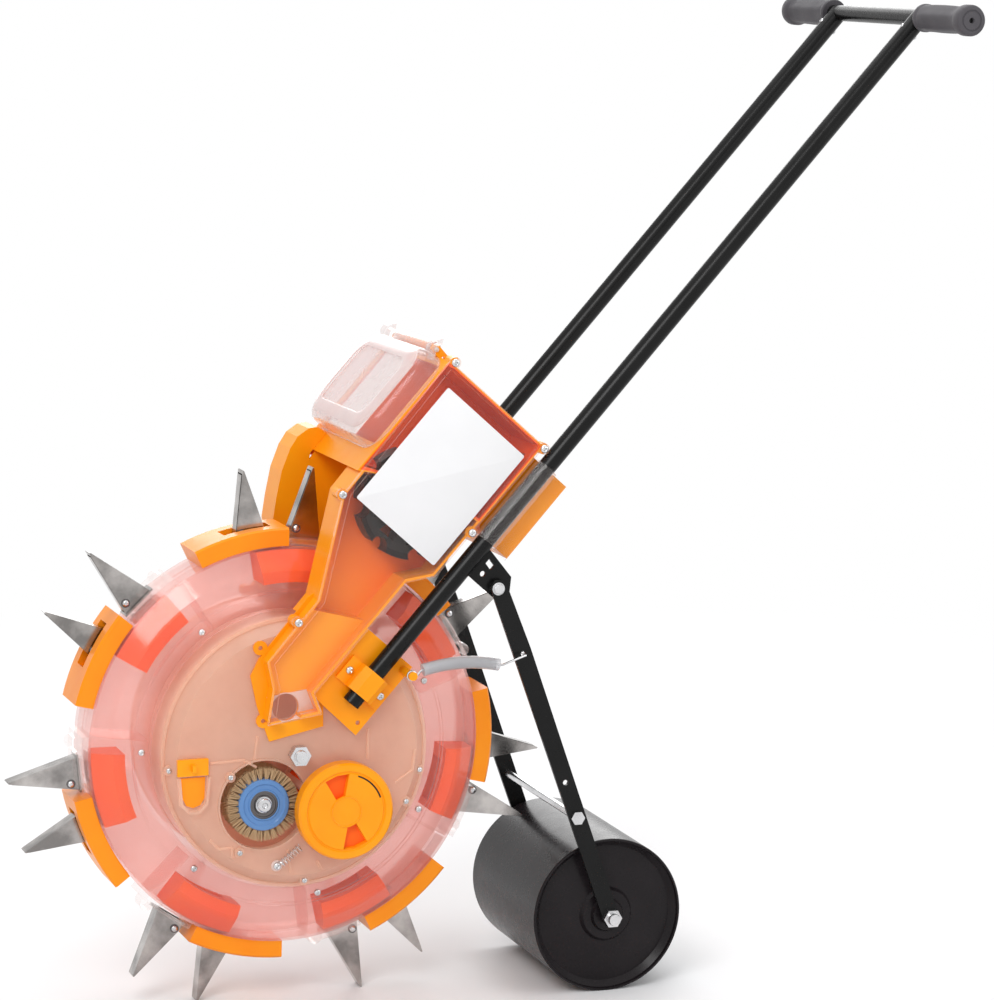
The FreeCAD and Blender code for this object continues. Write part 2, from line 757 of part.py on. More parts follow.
def make_roller_gear():
    """The gear on the metering roller's shaft; a gap faces the hub's tooth."""
    gear = Piece("near_roller_gear")
    blank = gear.sketch("XZ_Plane", "3.6")
    gear.circle(blank, "0", "0", "gear_root")
    gear.circle(blank, "0", "0", "meter_shaft + 0.02")
    gear.pad(blank, "gear_half_width - 3.6")
    tooth = gear.pad(gear_tooth(gear, "3.6"), "gear_half_width - 3.6")
    gear.around([tooth], int(size("gear_teeth")))
    half_pitch = 180 / size("gear_teeth")
    return gear.finish(size("roller_angle") + 180 + half_pitch, "roller_x", "roller_z")


def make_brush_wheel():
    """A wheel brush: a hub with a bearing recess and a ring of bristle tufts."""
    brush = Piece("near_brush_wheel")
    brush.turn([
        ("brush_bore + pin_fit", "-brush_end + 3"), ("15", "-brush_end + 3"), ("17", "-brush_end - 1"),
        ("brush_hub", "-brush_end - 1"), ("brush_hub", "-brush_start"),
        ("brush_bore + pin_fit", "-brush_start")])
    tuft = brush.outline(brush.sketch("XZ_Plane", "brush_start + 1"), [
        ("brush_hub - 1", "-2.3"), ("brush_radius", "-3.2"), ("brush_radius", "3.2"), ("brush_hub - 1", "2.3")])
    bristles = brush.pad(tuft, "brush_end - brush_start - 2")
    brush.around([bristles], 24)
    return brush.finish(0, "brush_x", "brush_z")


def make_brush_bolts():
    bolts = []
    for side in (1, -1):
        shank_low = "chamber_back + 4" if side > 0 else "-brush_end - 1"
        head_low = "brush_end - 2.5" if side > 0 else "-brush_end - 4"
        shank = disc("brush_x", "brush_z", shank_low, "brush_bore - 0.02", "brush_end - chamber_back - 3")
        head = disc("brush_x", "brush_z", head_low, "9.5", "6.5")
        bolts.append(joined("bolt", [shank, head]))
    return on_axle(group("brush_bolts", bolts))


def make_roller_cap():
    """The twist cap over the roller housing, with two wedge recesses that leave an S-shaped grip."""
    cap = Piece("near_roller_cap")
    cap.turn([
        ("0", "-cap_face"), ("39", "-cap_face"), ("40", "1 - cap_face"), ("41", "1 - cap_face"),
        ("42", "-cap_face - 0.5"), ("cap_radius - 2", "-cap_face - 0.5"), ("cap_radius", "2 - cap_face"),
        ("cap_radius", "-cap_skirt"), ("housing_outer + 0.6", "-cap_skirt"),
        ("housing_outer + 0.6", "9 - cap_face"), ("0", "9 - cap_face")])
    for turned in (1, -1):
        recess = cap.outline(cap.sketch("XZ_Plane", "cap_face + 2"), [
            (f"{turned} * 14", f"{turned} * 6"), (f"{turned} * 38", f"{turned} * 9"),
            (f"{turned} * 33", f"{turned} * 21"), (f"{turned} * 24", f"{turned} * 31"),
            (f"{turned} * 8", f"{turned} * 13")])
        cap.pocket(recess, "8")
    return cap.finish(72, "roller_x", "roller_z")


def make_rod(label, side):
    """A push rod, a steel tube with its upper end shaped to fit the handle bar."""
    outer = tube_x("rod_foot", side, "0", "rod_radius", "rod_top - rod_foot")
    inner = tube_x("rod_foot - 5", side, "0", "rod_bore", "rod_top")
    bar = disc("bar_along", "0", f"{side} - 30", "bar_radius + 0.02", "60")
    return with_rods(carved(label, outer, [inner, bar]))


def make_handle_bar():
    return with_rods(group("handle_bar", [disc("bar_along", "0", "-bar_half", "bar_radius", "2 * bar_half")]))


def make_grips():
    """Two rubber grips, waisted, with a lip at each end and a closed outer end with a small hole."""
    grips = []
    for side in (1, -1):
        grip = Piece("grip")
        outer_end = "bar_half + 4"
        grip.turn([
            ("grip_hole", f"-{side} * (bar_half + 0.2)"), ("bar_radius + 0.02", f"-{side} * (bar_half + 0.2)"),
            ("bar_radius + 0.02", f"-{side} * ({outer_end} - grip_length)"),
            ("grip_radius - 2", f"-{side} * ({outer_end} - grip_length)"),
            ("grip_radius - 1", f"-{side} * ({outer_end} - grip_length + grip_lip)"),
            ("grip_radius - 2", f"-{side} * ({outer_end} - grip_length + 2 * grip_lip)"),
            ("grip_radius - 1.5", f"-{side} * ({outer_end} - grip_length / 2)"),
            ("grip_radius", f"-{side} * ({outer_end} - 3 * grip_lip)"),
            ("grip_radius", f"-{side} * ({outer_end} - 2)"), ("grip_radius - 2", f"-{side} * ({outer_end})"),
            ("grip_hole", f"-{side} * ({outer_end})")])
        grip.body.Placement = FreeCAD.Placement(Vector(size("bar_along"), 0, 0), FreeCAD.Rotation())
        grips.append(grip.body)
    return with_rods(group("handle_grips", grips))


HOPPER_EARS = [("hopper_top + 2", "hopper_front - 5"), ("hopper_top - 2", "hopper_rear - 1")]
CHUTE_EARS = [("waist_along - 1", "waist_front + 1"), ("100", "neck_front + 2"), ("284", "hopper_rear + 1")]
FLANGE_EARS = [("57", "neck_front + 8"), ("3", "53")]
CLAMP_SCREWS = [("98", "21.5"), ("98", "-21.5")]

CASE_OUTLINE = [
    ("hopper_top", "hopper_rear"), ("hopper_top", "hopper_front"), ("waist_along", "waist_front"),
    ("neck_along", "neck_front"), ("heel_along", "neck_front - 1"), ("toe_along", "toe_front"),
    ("2", "outlet_front"), ("outlet_rear_along", "outlet_rear"), ("back_low_along", "back_front"),
    ("back_high_along", "back_front"), ("waist_along - 1", "hopper_rear + 1")]


def make_near_panel():
    """The clear panel that closes the hopper and the chute, with a raised rim all round."""
    panel = Piece("near_panel")
    panel.pad(panel.outline(panel.sketch("XZ_Plane", "hopper_half + 0.1"), CASE_OUTLINE),
              "panel_thick + panel_ridge")
    doc.recompute()
    inner = panel.outline(panel.sketch("XZ_Plane", "hopper_half + 0.1 + panel_thick + panel_ridge"), [
        ("hopper_top - 6", "hopper_rear + 6"), ("hopper_top - 6", "hopper_front - 6"),
        ("waist_along + 4", "waist_front - 6"), ("neck_along + 2", "neck_front - 6"),
        ("heel_along + 3", "neck_front - 7"), ("toe_along + 5", "toe_front - 4"),
        ("11", "outlet_front - 2"), ("outlet_rear_along - 1", "outlet_rear + 8"),
        ("back_low_along - 2", "back_front + 6"), ("back_high_along + 3", "back_front + 6"),
        ("waist_along + 2", "hopper_rear + 7")])
    panel.pocket(inner, "panel_ridge")
    for along, front in HOPPER_EARS + CHUTE_EARS:
        ear = panel.many_sided(panel.sketch("XZ_Plane", "hopper_half + 0.1"), along, front, "ear_radius", 12)
        panel.pad(ear, "panel_thick + panel_ridge")
    for along, front in HOPPER_EARS + CHUTE_EARS:
        hole = panel.many_sided(panel.sketch("XZ_Plane", "hopper_half + 20"), along, front,
                                "screw_radius + pin_fit")
        panel.pocket(hole, "40")
    return with_rods(panel.body)


def make_hopper_body():
    """The hopper moulding: arched over the wheel, open at both sides, with a mouth, a wall and a rear bulge."""
    hopper = Piece("hopper_body")
    case = hopper.outline(hopper.sketch("XZ_Plane"), [
        ("hopper_top", "hopper_rear"), ("hopper_top", "hopper_front"), ("240", "hopper_front"),
        ("240", "hopper_rear")])
    hopper.pad(case, "2 * hopper_half", both=True)
    hopper.pocket(hopper.circle(hopper.sketch("XZ_Plane"), "0", "0", "arch_radius"), "300", both=True)
    doc.recompute()
    room = hopper.sketch("XZ_Plane", "hopper_half")
    hopper.outline(room, [
        ("hopper_top - hopper_wall", "hopper_rear + hopper_wall"),
        ("hopper_top - hopper_wall", "hopper_front - hopper_wall"),
        ("262", "hopper_front - hopper_wall"), ("280.5", "108"), ("292.5", "70"),
        ("300", "hopper_rear + hopper_wall")])
    hopper.pocket(room, "2 * hopper_half")
    wall = hopper.sketch("XZ_Plane", "8")
    hopper.outline(wall, [
        ("hopper_top - 1", "hopper_rear + 1"), ("hopper_top - 1", "hopper_front - 1"),
        ("259", "hopper_front - 1"), ("279", "108"), ("291", "70"), ("299", "hopper_rear + 1")])
    hopper.pad(wall, "hopper_wall")
    bulge = hopper.sketch("XZ_Plane")
    hopper.outline(bulge, [("bulge_low", "bulge_rear"), ("bulge_high", "bulge_rear"),
                           ("bulge_high", "hopper_rear + 1"), ("299", "hopper_rear + 1"),
                           ("299", "hopper_rear - 6"), ("bulge_low", "hopper_rear - 16")])
    hopper.pad(bulge, "2 * bulge_half", both=True)
    hollow = hopper.sketch("XZ_Plane")
    hopper.outline(hollow, [
        ("bulge_low + 14", "bulge_rear + hopper_wall"),
        ("bulge_high - hopper_wall", "bulge_rear + hopper_wall"),
        ("bulge_high - hopper_wall", "hopper_rear + 5"), ("bulge_low + 18", "hopper_rear + 5")])
    hopper.pocket(hollow, "2 * bulge_half - 2 * hopper_wall", both=True)
    mouth = hopper.sketch("XY_Plane", "hopper_front + 5")
    hopper.outline(mouth, [("mouth_low", "-mouth_half"), ("mouth_high", "-mouth_half"),
                           ("mouth_high", "mouth_half"), ("mouth_low", "mouth_half")])
    hopper.pocket(mouth, "5 + hopper_wall + 1")
    for side in (1, -1):
        drop = hopper.sketch("YZ_Plane", "312")
        hopper.outline(drop, [(f"{side} * (hopper_half - 3)", "hopper_rear + 4"),
                              (f"{side} * (hopper_half - 3)", "hopper_front - 6"),
                              (f"{side} * (chute_inner + 4)", "hopper_front - 6"),
                              (f"{side} * (chute_inner + 4)", "hopper_rear + 4")])
        hopper.pocket(drop, "80")
    for side in (1, -1):
        lug = hopper.sketch("XZ_Plane", f"{side} * 63 - lug_thick / 2")
        hopper.outline(lug, [("hopper_top - 1", "hopper_front - 16"), ("hinge_along + 3", "hopper_front - 8"),
                             ("hinge_along + 5", "hinge_front"), ("hinge_along + 3", "hinge_front + 4.5"),
                             ("hinge_along - 3", "hinge_front + 4.5"), ("hopper_top - 1", "hopper_front - 1")])
        hopper.pad(lug, "lug_thick")
    bores = hopper.circle(hopper.sketch("XZ_Plane"), "hinge_along", "hinge_front", "hinge_radius + 0.02")
    hopper.pocket(bores, "200", both=True)
    for along, front in HOPPER_EARS:
        for start in ("hopper_half - ear_length", "-hopper_half"):
            hopper.pad(hopper.many_sided(hopper.sketch("XZ_Plane", start), along, front, "ear_radius", 12),
                       "ear_length")
    for along, front in HOPPER_EARS:
        hole = hopper.many_sided(hopper.sketch("XZ_Plane"), along, front, "screw_radius")
        hopper.pocket(hole, "2 * hopper_half + 2", both=True)
    return with_rods(hopper.body)


def make_near_chute(label="near_chute", swell=0):
    """A chute from the hopper to the chamber: a tray with an outlet, a flange with ears and the rod's seat."""
    chute = Piece(label)
    chute.pad(chute.outline(chute.sketch("XZ_Plane", "chute_inner"), CASE_OUTLINE), "hopper_half - chute_inner")
    if swell:
        lip = chute.outline(chute.sketch("XZ_Plane", "chute_inner"), [
            ("250", "hopper_front + 0.1"), ("240", "waist_front + 24"), ("216", "waist_front + 15"),
            ("190", "waist_front"), ("170", "waist_front - 13"), ("neck_along - 4", "neck_front - 2"),
            ("neck_along + 30", "neck_front")])
        chute.pad(lip, "hopper_half - chute_inner")
    ring = chute.sketch("XZ_Plane")
    chute.circle(ring, "0", "0", "arch_radius")
    chute.circle(ring, "0", "0", "2 * arch_radius")
    chute.pocket(ring, "300", both=True)
    if swell:
        crown = chute.outline(chute.sketch("XZ_Plane", "chute_inner"), [
            ("240", "hopper_front + 0.1"), ("277", "hopper_front + 0.1"), ("275.5", "waist_front + 16"),
            ("268", "waist_front + 22.5"), ("254", "waist_front + 26"), ("238", "waist_front + 23.4")])
        chute.pad(crown, "hopper_half - chute_inner")
    inside = chute.sketch("XZ_Plane", "chute_step")
    chute.circle(inside, "0", "0", "chute_turn")
    chute.pocket(inside, "60")
    flange = chute.outline(chute.sketch("XZ_Plane", "chute_step"), [
        ("152", "94"), ("127", "neck_front + 4"), ("heel_along - 2", "neck_front + 2"), ("29", "94"),
        ("10", "68"), ("-9", "34"), ("38", "0"), ("54", "14"), ("60", "back_front + 1"),
        ("140", "back_front + 1")])
    chute.pad(flange, "2.8")
    for along, front in FLANGE_EARS:
        chute.pad(chute.many_sided(chute.sketch("XZ_Plane", "chute_step"), along, front, "7.5", 12), "2.8")
    low_room = [
        ("146", "back_front + chute_wall"), ("118", "neck_front - 3.5"),
        ("heel_along + 1.5", "neck_front - 3.6"),
        ("toe_along + 2.5", "toe_front - 1.5"), ("5.5", "outlet_front - 0.4"),
        ("outlet_rear_along - 0.6", "outlet_rear + 3.8"), ("back_low_along - 2", "back_front + chute_wall")]
    chute.pocket(chute.outline(chute.sketch("XZ_Plane", "hopper_half"), low_room),
                 "hopper_half - chute_step - chute_wall")
    high_room = [
        ("146", "back_front + chute_wall"), ("back_high_along + 1", "back_front + chute_wall"),
        ("waist_along", "hopper_rear + 1 + chute_wall"), ("320", "hopper_rear + chute_wall"),
        ("320", "waist_front - chute_wall"), ("waist_along + 1", "waist_front - chute_wall - 0.4"),
        ("neck_along + 1.5", "neck_front - chute_wall"), ("118", "neck_front - 3.5")]
    chute.pocket(chute.outline(chute.sketch("XZ_Plane", "hopper_half"), high_room),
                 "hopper_half - chute_inner - chute_wall")
    if swell:
        swell_room = [
            ("250", "waist_front - 12"), ("250", "hopper_front + 2.7"), ("274", "hopper_front + 2.7"),
            ("272.6", "waist_front + 14.6"), ("266.5", "waist_front + 20"), ("254", "waist_front + 23.2"),
            ("240", "waist_front + 21"), ("217.6", "waist_front + 12.4"), ("191.6", "waist_front - 2.4"),
            ("171.4", "waist_front - 15.6"), ("146", "neck_front + 7"), ("160", "neck_front + 4")]
        chute.pocket(chute.outline(chute.sketch("XZ_Plane", "hopper_half - chute_wall"), swell_room),
                     "hopper_half - chute_inner - 2 * chute_wall")
    outlet = chute.circle(chute.sketch("XZ_Plane", "hopper_half"), "28", "45", "14")
    chute.pocket(outlet, "hopper_half")
    seat = chute.outline(chute.sketch("XZ_Plane", "rod_side - rod_radius - 3.2"), [
        ("52", "-30"), ("142", "-30"), ("142", "back_front + 1"), ("back_low_along + 2", "back_front + 1"),
        ("54", "26")])
    chute.pad(seat, "3.2")
    lug = chute.circle(chute.sketch("XZ_Plane", "rod_side - rod_radius - 3.2"), "lug_along", "lug_front",
                       "lug_radius")
    chute.pad(lug, "spring_side + 5 - rod_side + rod_radius + 3.2")
    neck = chute.sketch("XZ_Plane", "spring_side + 3")
    chute.circle(neck, "lug_along", "lug_front", "lug_radius + 1.5")
    chute.circle(neck, "lug_along", "lug_front", "lug_radius - 1.5")
    chute.pocket(neck, "6")
    chute.pad(chute.circle(chute.sketch("XZ_Plane", "chute_inner"), "rotor_along", "rotor_front", "rotor_pin"),
              "rotor_end + 4 - chute_inner")
    holes = chute.sketch("XZ_Plane", "hopper_half + 20")
    for along, front in FLANGE_EARS + [("63", "-23")]:
        chute.many_sided(holes, along, front, "2.5")
    chute.pocket(holes, "60")
    screw_sites = chute.sketch("XZ_Plane", "hopper_half + 20")
    for along, front in CLAMP_SCREWS:
        chute.many_sided(screw_sites, along, front, "screw_radius")
    chute.pocket(screw_sites, "60")
    for along, front in CHUTE_EARS:
        ear = chute.many_sided(chute.sketch("XZ_Plane", "hopper_half - 14"), along, front, "ear_radius", 12)
        chute.pad(ear, "14")
        hole = chute.many_sided(chute.sketch("XZ_Plane", "hopper_half"), along, front, "screw_radius")
        chute.pocket(hole, "13")
    return with_rods(chute.body)


def make_rod_saddles():
    """Two half clamps that hold the rods' lower ends to their seats."""
    saddles = []
    for side in (1, -1):
        saddle = Piece("saddle")
        start = "rod_side - rod_radius" if side > 0 else "-rod_side + rod_radius - saddle_wall"
        foot = saddle.sketch("XZ_Plane", start)
        saddle.outline(foot, [("saddle_low", "-saddle_half"), ("saddle_high", "-saddle_half"),
                              ("saddle_high", "saddle_half"), ("saddle_low", "saddle_half")])
        saddle.pad(foot, "saddle_wall")
        shell = saddle.sketch("YZ_Plane", "saddle_low")
        outer = f"-{side} * (rod_side + rod_radius + saddle_wall)"
        slope = f"-{side} * (rod_side + 6)"
        root = f"-{side} * (rod_side - rod_radius + 1)"
        saddle.outline(shell, [(root, "-15.5"), (slope, "-15.5"), (outer, "-8"), (outer, "8"), (slope, "15.5"),
                               (root, "15.5")])
        saddle.pad(shell, "saddle_high - saddle_low")
        bore = saddle.circle(saddle.sketch("YZ_Plane", "70"), f"-{side} * rod_side", "0", "rod_radius + 0.02")
        saddle.feature("Pocket", bore, "60", False).Reversed = True
        holes = saddle.sketch("XZ_Plane")
        for along, front in CLAMP_SCREWS:
            saddle.many_sided(holes, along, front, "screw_radius + pin_fit")
        saddle.pocket(holes, "300", both=True)
        saddles.append(saddle.body)
    return with_rods(group("rod_saddles", saddles))


def make_rod_clamps():
    """Two clear covers that hold the rods against the hopper's sides."""
    clamps = []
    for side in (1, -1):
        clamp = Piece("clamp")
        shell = clamp.sketch("YZ_Plane", "clamp_low")
        wall = f"-{side} * (bulge_half + 0.1)"
        skin = f"-{side} * (bulge_half + 0.1 + clamp_skin)"
        middle = f"-{side} * rod_side"
        outer = f"-{side} * (rod_side + rod_radius + 0.1 + clamp_skin)"
        slope = f"-{side} * (rod_side + 6)"
        clamp.outline(shell, [(wall, "-36"), (skin, "-36"), (skin, "-13.5"), (middle, "-12.5"),
                              (slope, "-11.5"), (outer, "-4.5"), (outer, "4.5"), (slope, "11.5"),
                              (middle, "12.5"),
                              (f"-{side} * (rod_side - 1.5)", "12.5"), (f"-{side} * (rod_side - 1.5)", "0"),
                              (f"-{side} * (rod_side - 9)", "-10.5"), (wall, "-10.5")])
        clamp.pad(shell, "clamp_length")
        bore = clamp.circle(clamp.sketch("YZ_Plane", "270"), f"-{side} * rod_side", "0", "rod_radius + 0.02")
        clamp.feature("Pocket", bore, "130", False).Reversed = True
        clamps.append(clamp.body)
    return with_rods(group("rod_clamps", clamps))


def make_arm_brackets():
    """Two plates under the rods that carry the press arms' pivots, each with a slot for the far setting."""
    plates = []
    for side in (1, -1):
        plate = Piece("arm_bracket")
        start = "rod_side - 2" if side > 0 else "-rod_side - 2"
        shape = plate.sketch("XZ_Plane", start)
        plate.outline(shape, [("249", "-6"), ("284", "-6"), ("277", "-46"), ("263", "-56"), ("249", "-47")])
        plate.circle(shape, "258.6", "-40.9", "pivot_radius + 0.02")
        plate.circle(shape, "260", "-20", "3")
        plate.outline(shape, [("268", "-24"), ("274", "-24"), ("276", "-15"), ("270", "-15")])
        plate.pad(shape, "4")
        bore = plate.circle(plate.sketch("YZ_Plane", "240"), f"-{side} * rod_side", "0", "rod_radius + 0.02")
        plate.feature("Pocket", bore, "60", False).Reversed = True
        plates.append(plate.body)
    return with_rods(group("arm_brackets", plates))


def make_press_arms():
    """Two flat bars from the brackets down to the press roller's axle."""
    bars = []
    for side in (1, -1):
        bar = Piece("press_arm")
        start = "arm_inner" if side > 0 else "-arm_inner - arm_thick"
        shape = bar.sketch("XZ_Plane", start)
        bar.outline(shape, [
            ("pivot_x - 8.5", "pivot_z + 2"), ("pivot_x - 4", "pivot_z + 9"), ("pivot_x + 4", "pivot_z + 9"),
            ("pivot_x + 9.5", "pivot_z + 3"), ("hook_x + 8", "hook_z + 6"), ("press_x + 8.5", "press_z + 2"),
            ("press_x + 5", "press_z - 9"), ("press_x - 5", "press_z - 9"), ("press_x - 8.5", "press_z - 2")])
        bar.circle(shape, "pivot_x", "pivot_z", "pivot_radius + pin_fit")
        bar.many_sided(shape, "cross_x - 13", "cross_z + 38", "3")
        bar.many_sided(shape, "hook_x", "hook_z", "2.6")
        bar.circle(shape, "cross_x", "cross_z", "cross_radius + 0.02")
        bar.circle(shape, "press_x", "press_z", "press_shaft + 0.02")
        bar.pad(shape, "arm_thick")
        bars.append(bar.body)
    return on_axle(group("press_arms", bars))


def make_press_crossbars():
    """The arms' cross rod with its nuts, and the press roller's threaded axle with nuts."""
    reach = "arm_inner + arm_thick"
    rod = disc("cross_x", "cross_z", f"-({reach} + 4)", "cross_radius", f"2 * ({reach} + 4)")
    axle_rod = disc("press_x", "press_z", f"-({reach} + 12)", "press_shaft", f"2 * ({reach} + 12)")
    nuts = []
    for start in (f"{reach} + 0.02", f"-({reach}) - 6.02"):
        nuts.append(hex_nut(start, "press_x", "press_z", "10", "press_shaft + 0.02", "6"))
        nuts.append(hex_nut(start, "cross_x", "cross_z", "7.5", "cross_radius + 0.02", "3.9"))
    return on_axle(group("press_crossbars", [rod, axle_rod] + nuts))


def make_press_roller():
    """The press roller, a steel drum with dished ends and a bored hub."""
    roller = Piece("press_roller")
    half = [("press_shaft + pin_fit", "press_half + 2"), ("16", "press_half + 2"), ("18", "press_half - 2"),
            ("26", "press_half - 2"), ("29", "press_half - 6"),
            ("press_radius - 9", "press_half - 10"), ("press_radius - 3", "press_half - 4"),
            ("press_radius - 2.4", "press_half"), ("press_radius - 0.6", "press_half"),
            ("press_radius", "press_half - 1")]
    inner = [("press_shaft + 8", "press_half - 9"), ("press_radius - 9", "press_half - 12.5"),
             ("press_radius - 3", "press_half - 7")]
    roller.turn(half + mirror_side(half))
    room = roller.outline(roller.sketch("XY_Plane"), inner + mirror_side(inner))
    hollow = roller.body.newObject("PartDesign::Groove", "press_roller_hollow")
    hollow.Profile = room
    hollow.ReferenceAxis = (room, ["V_Axis"])
    hollow.Angle = 360
    drain = roller.circle(roller.sketch("XZ_Plane", "-press_half + 20"), "0", "50", "4")
    roller.feature("Pocket", drain, "25", False)
    return roller.finish(0, "press_x", "press_z")


def mirror_side(corners):
    """The same outline corners on the other side of the middle, in the order that closes the outline."""
    return [(reach, f"-({side})") for reach, side in reversed(corners)]


def make_press_springs():
    """Two bowed spring sleeves with wire hooks, from the chutes' lugs to the arms."""
    springs = []
    for side in (1, -1):
        middle = side * size("spring_side")
        sleeve = doc.addObject("Part::Torus", "sleeve")
        bind(sleeve, Radius1="spring_bow", Radius2="spring_sleeve", Angle3="spring_sweep")
        lie_flat = FreeCAD.Rotation(Vector(1, 0, 0), 90)
        to_start = FreeCAD.Rotation(Vector(0, 0, 1), size("spring_start"))
        sleeve.Placement = FreeCAD.Placement(Vector(size("spring_x"), -middle, size("spring_z")),
                                             lie_flat.multiply(to_start))
        eye_low = f"{side} * spring_side - wire_radius"
        eye = carved("eye", disc("lug_x", "lug_z", eye_low, "2 * wire_radius + 3.3", "2 * wire_radius"),
                     [disc("lug_x", "lug_z", f"{eye_low} - 1", "3.3", "2 * wire_radius + 2")])
        inner_wire = wire(("lug_x + 3.2", "lug_z + 2.2"), spring_end(1), middle)
        outer_wire = wire(spring_end(0), ("hook_x", "hook_z"), middle)
        inward = "arm_inner - 3" if side > 0 else "-spring_side - wire_radius"
        hook = peg("hook_x", "hook_z", inward, "wire_radius", "spring_side + wire_radius - arm_inner + 3", 6)
        springs.append(joined("spring", [sleeve, eye, inner_wire, outer_wire, hook]))
    return on_axle(group("press_springs", springs))


def spring_end(last):
    """The middle of a sleeve's end, by its place on the bow."""
    angle = f"(spring_start + {last} * spring_sweep) * 1 deg"
    return f"spring_x + spring_bow * cos({angle})", f"spring_z + spring_bow * sin({angle})"


def wire(start, end, middle):
    """A straight wire between two points (x, z) at one side of the machine."""
    run = Vector(number(end[0]) - number(start[0]), 0, number(end[1]) - number(start[1]))
    made = doc.addObject("Part::Prism", "wire")
    made.Circumradius = size("wire_radius")
    made.Height = run.Length
    made.Placement = FreeCAD.Placement(Vector(number(start[0]), -middle, number(start[1])),
                                       FreeCAD.Rotation(Vector(0, 0, 1), run))
    return made


def make_feed_rotor():
    """The pocketed disc that turns behind the near panel."""
    rotor = Piece("feed_rotor")
    rotor.turn([("rotor_pin + pin_fit", "-rotor_end"), ("16", "-rotor_end"), ("16", "-rotor_end + 6"),
                ("rotor_radius - 6", "-rotor_end + 6"), ("rotor_radius", "-rotor_end + 2"),
                ("rotor_radius", "-rotor_start"), ("rotor_pin + pin_fit", "-rotor_start")])
    cell = rotor.circle(rotor.sketch("XZ_Plane", "rotor_end + 4"), "rotor_radius - 2", "0", "9")
    cells = rotor.pocket(cell, "50")
    window = rotor.sketch("XZ_Plane", "rotor_end + 4")
    rotor.outline(window, [("20", "-4"), ("rotor_radius - 15", "-10"), ("rotor_radius - 15", "10"),
                           ("20", "4")])
    windows = rotor.pocket(window, "50")
    rotor.around([cells, windows], 8)
    return in_rod_frame(rotor.body, "rotor_along", "rotor_front")


def in_rod_frame(body, along, front):
    """Place a body, drawn about its own axis, at a point of the rods' frame."""
    lean = math.radians(size("rod_angle"))
    body.Placement = FreeCAD.Placement(Vector(), FreeCAD.Rotation(Vector(0, 1, 0), -size("rod_angle")))
    body.setExpression("Placement.Base.x", formula(
        f"axle_x + ({along}) * cos(rod_angle * 1 deg) - ({front}) * sin(rod_angle * 1 deg)"))
    body.setExpression("Placement.Base.z", formula(
        f"axle_height + ({along}) * sin(rod_angle * 1 deg) + ({front}) * cos(rod_angle * 1 deg)"))
    return body


def make_hopper_lid():
    """The clear lid: a shallow domed box over the mouth, hinged at its upper edge."""
    lid = Piece("hopper_lid")
    steps = [("0.4", "0"), ("lid_depth - 10", "0.8"), ("lid_depth - 3.5", "3.5"), ("lid_depth", "9"),
             ("lid_depth + 3", "22")]
    outer = [lid_section(lid, f"hopper_front + {rise}", inset, "12") for rise, inset in steps]
    lid.skin("AdditiveLoft", outer)
    inner = [lid_section(lid, f"hopper_front + {rise} - {drop}", f"{inset} + lid_wall", "10.5")
             for (rise, inset), drop in zip(steps, ("2", "0.6", "1.4", "lid_wall", "lid_wall"))]
    lid.skin("SubtractiveLoft", inner)
    lid.pocket(lid_section(lid, "hopper_front + lid_depth + 3", "26", "9"), "0.9")
    for side in (1, -1):
        knuckle = lid.sketch("XZ_Plane", f"{side} * 53 - 5")
        lid.outline(knuckle, [("lid_high - 1", "hinge_front + 5"), ("lid_high - 1", "hinge_front - 3"),
                              ("hinge_along - 2", "hinge_front - 5"), ("hinge_along + 3", "hinge_front - 4"),
                              ("hinge_along + 5", "hinge_front"), ("hinge_along + 3", "hinge_front + 4"),
                              ("hinge_along", "hinge_front + 5")])
        lid.pad(knuckle, "10")
    lid.pocket(lid.circle(lid.sketch("XZ_Plane"), "hinge_along", "hinge_front", "hinge_radius + pin_fit"),
               "200", both=True)
    return with_rods(lid.body)


def lid_section(lid, level, inset, corner):
    """One level of the lid: a rectangle with cut corners."""
    low = f"lid_low + {inset}"
    high = f"lid_high - ({inset})"
    half = f"(lid_half - ({inset}))"
    return lid.outline(lid.sketch("XY_Plane", level), [
        (f"{low} + {corner}", f"-{half}"), (f"{high} - {corner}", f"-{half}"), (high, f"{corner} - {half}"),
        (high, f"{half} - {corner}"), (f"{high} - {corner}", half), (f"{low} + {corner}", half),
        (low, f"{half} - {corner}"), (low, f"{corner} - {half}")])


def make_lid_hinge_pin():
    return with_rods(group("lid_hinge_pin", [disc("hinge_along", "hinge_front", "-68", "hinge_radius", "136")]))


def make_cleanout_plug():
    """The plug that closes the near chamber's clean-out hole."""
    head = block(("-127", "cover_face + 0.1", "-14"), ("-95", "cover_face + 4.5", "3"))
    grip = block(("-113", "cover_face + 4", "-9"), ("-109", "cover_face + 11", "-2"))
    stem = block(("-119", "cover_face - 12", "-9.5"), ("-103", "cover_face + 1", "-1.5"))
    return on_axle(joined("cleanout_plug", [head, grip, stem]))


def screw(across, up, start, side, length="8"):
    """A dome-headed screw that goes in from a depth, with its head outside."""
    inward = f"({start}) - {length}" if side > 0 else f"-({start})"
    outward = start if side > 0 else f"-({start}) - 2.6"
    shank = peg(across, up, inward, "screw_radius - 0.02", length)
    head = peg(across, up, outward, "screw_head", "2.6")
    return joined("screw", [shank, head])


def make_case_screws():
    """The screws of the panels and the rod saddles."""
    screws = []
    for side in (1, -1):
        for along, front in HOPPER_EARS + CHUTE_EARS:
            screws.append(screw(along, front, "hopper_half + 0.1 + panel_thick + panel_ridge", side, "14"))
        for along, front in CLAMP_SCREWS:
            screws.append(screw(along, front, "rod_side - rod_radius + saddle_wall", side, "7"))
    return with_rods(group("case_screws", screws))


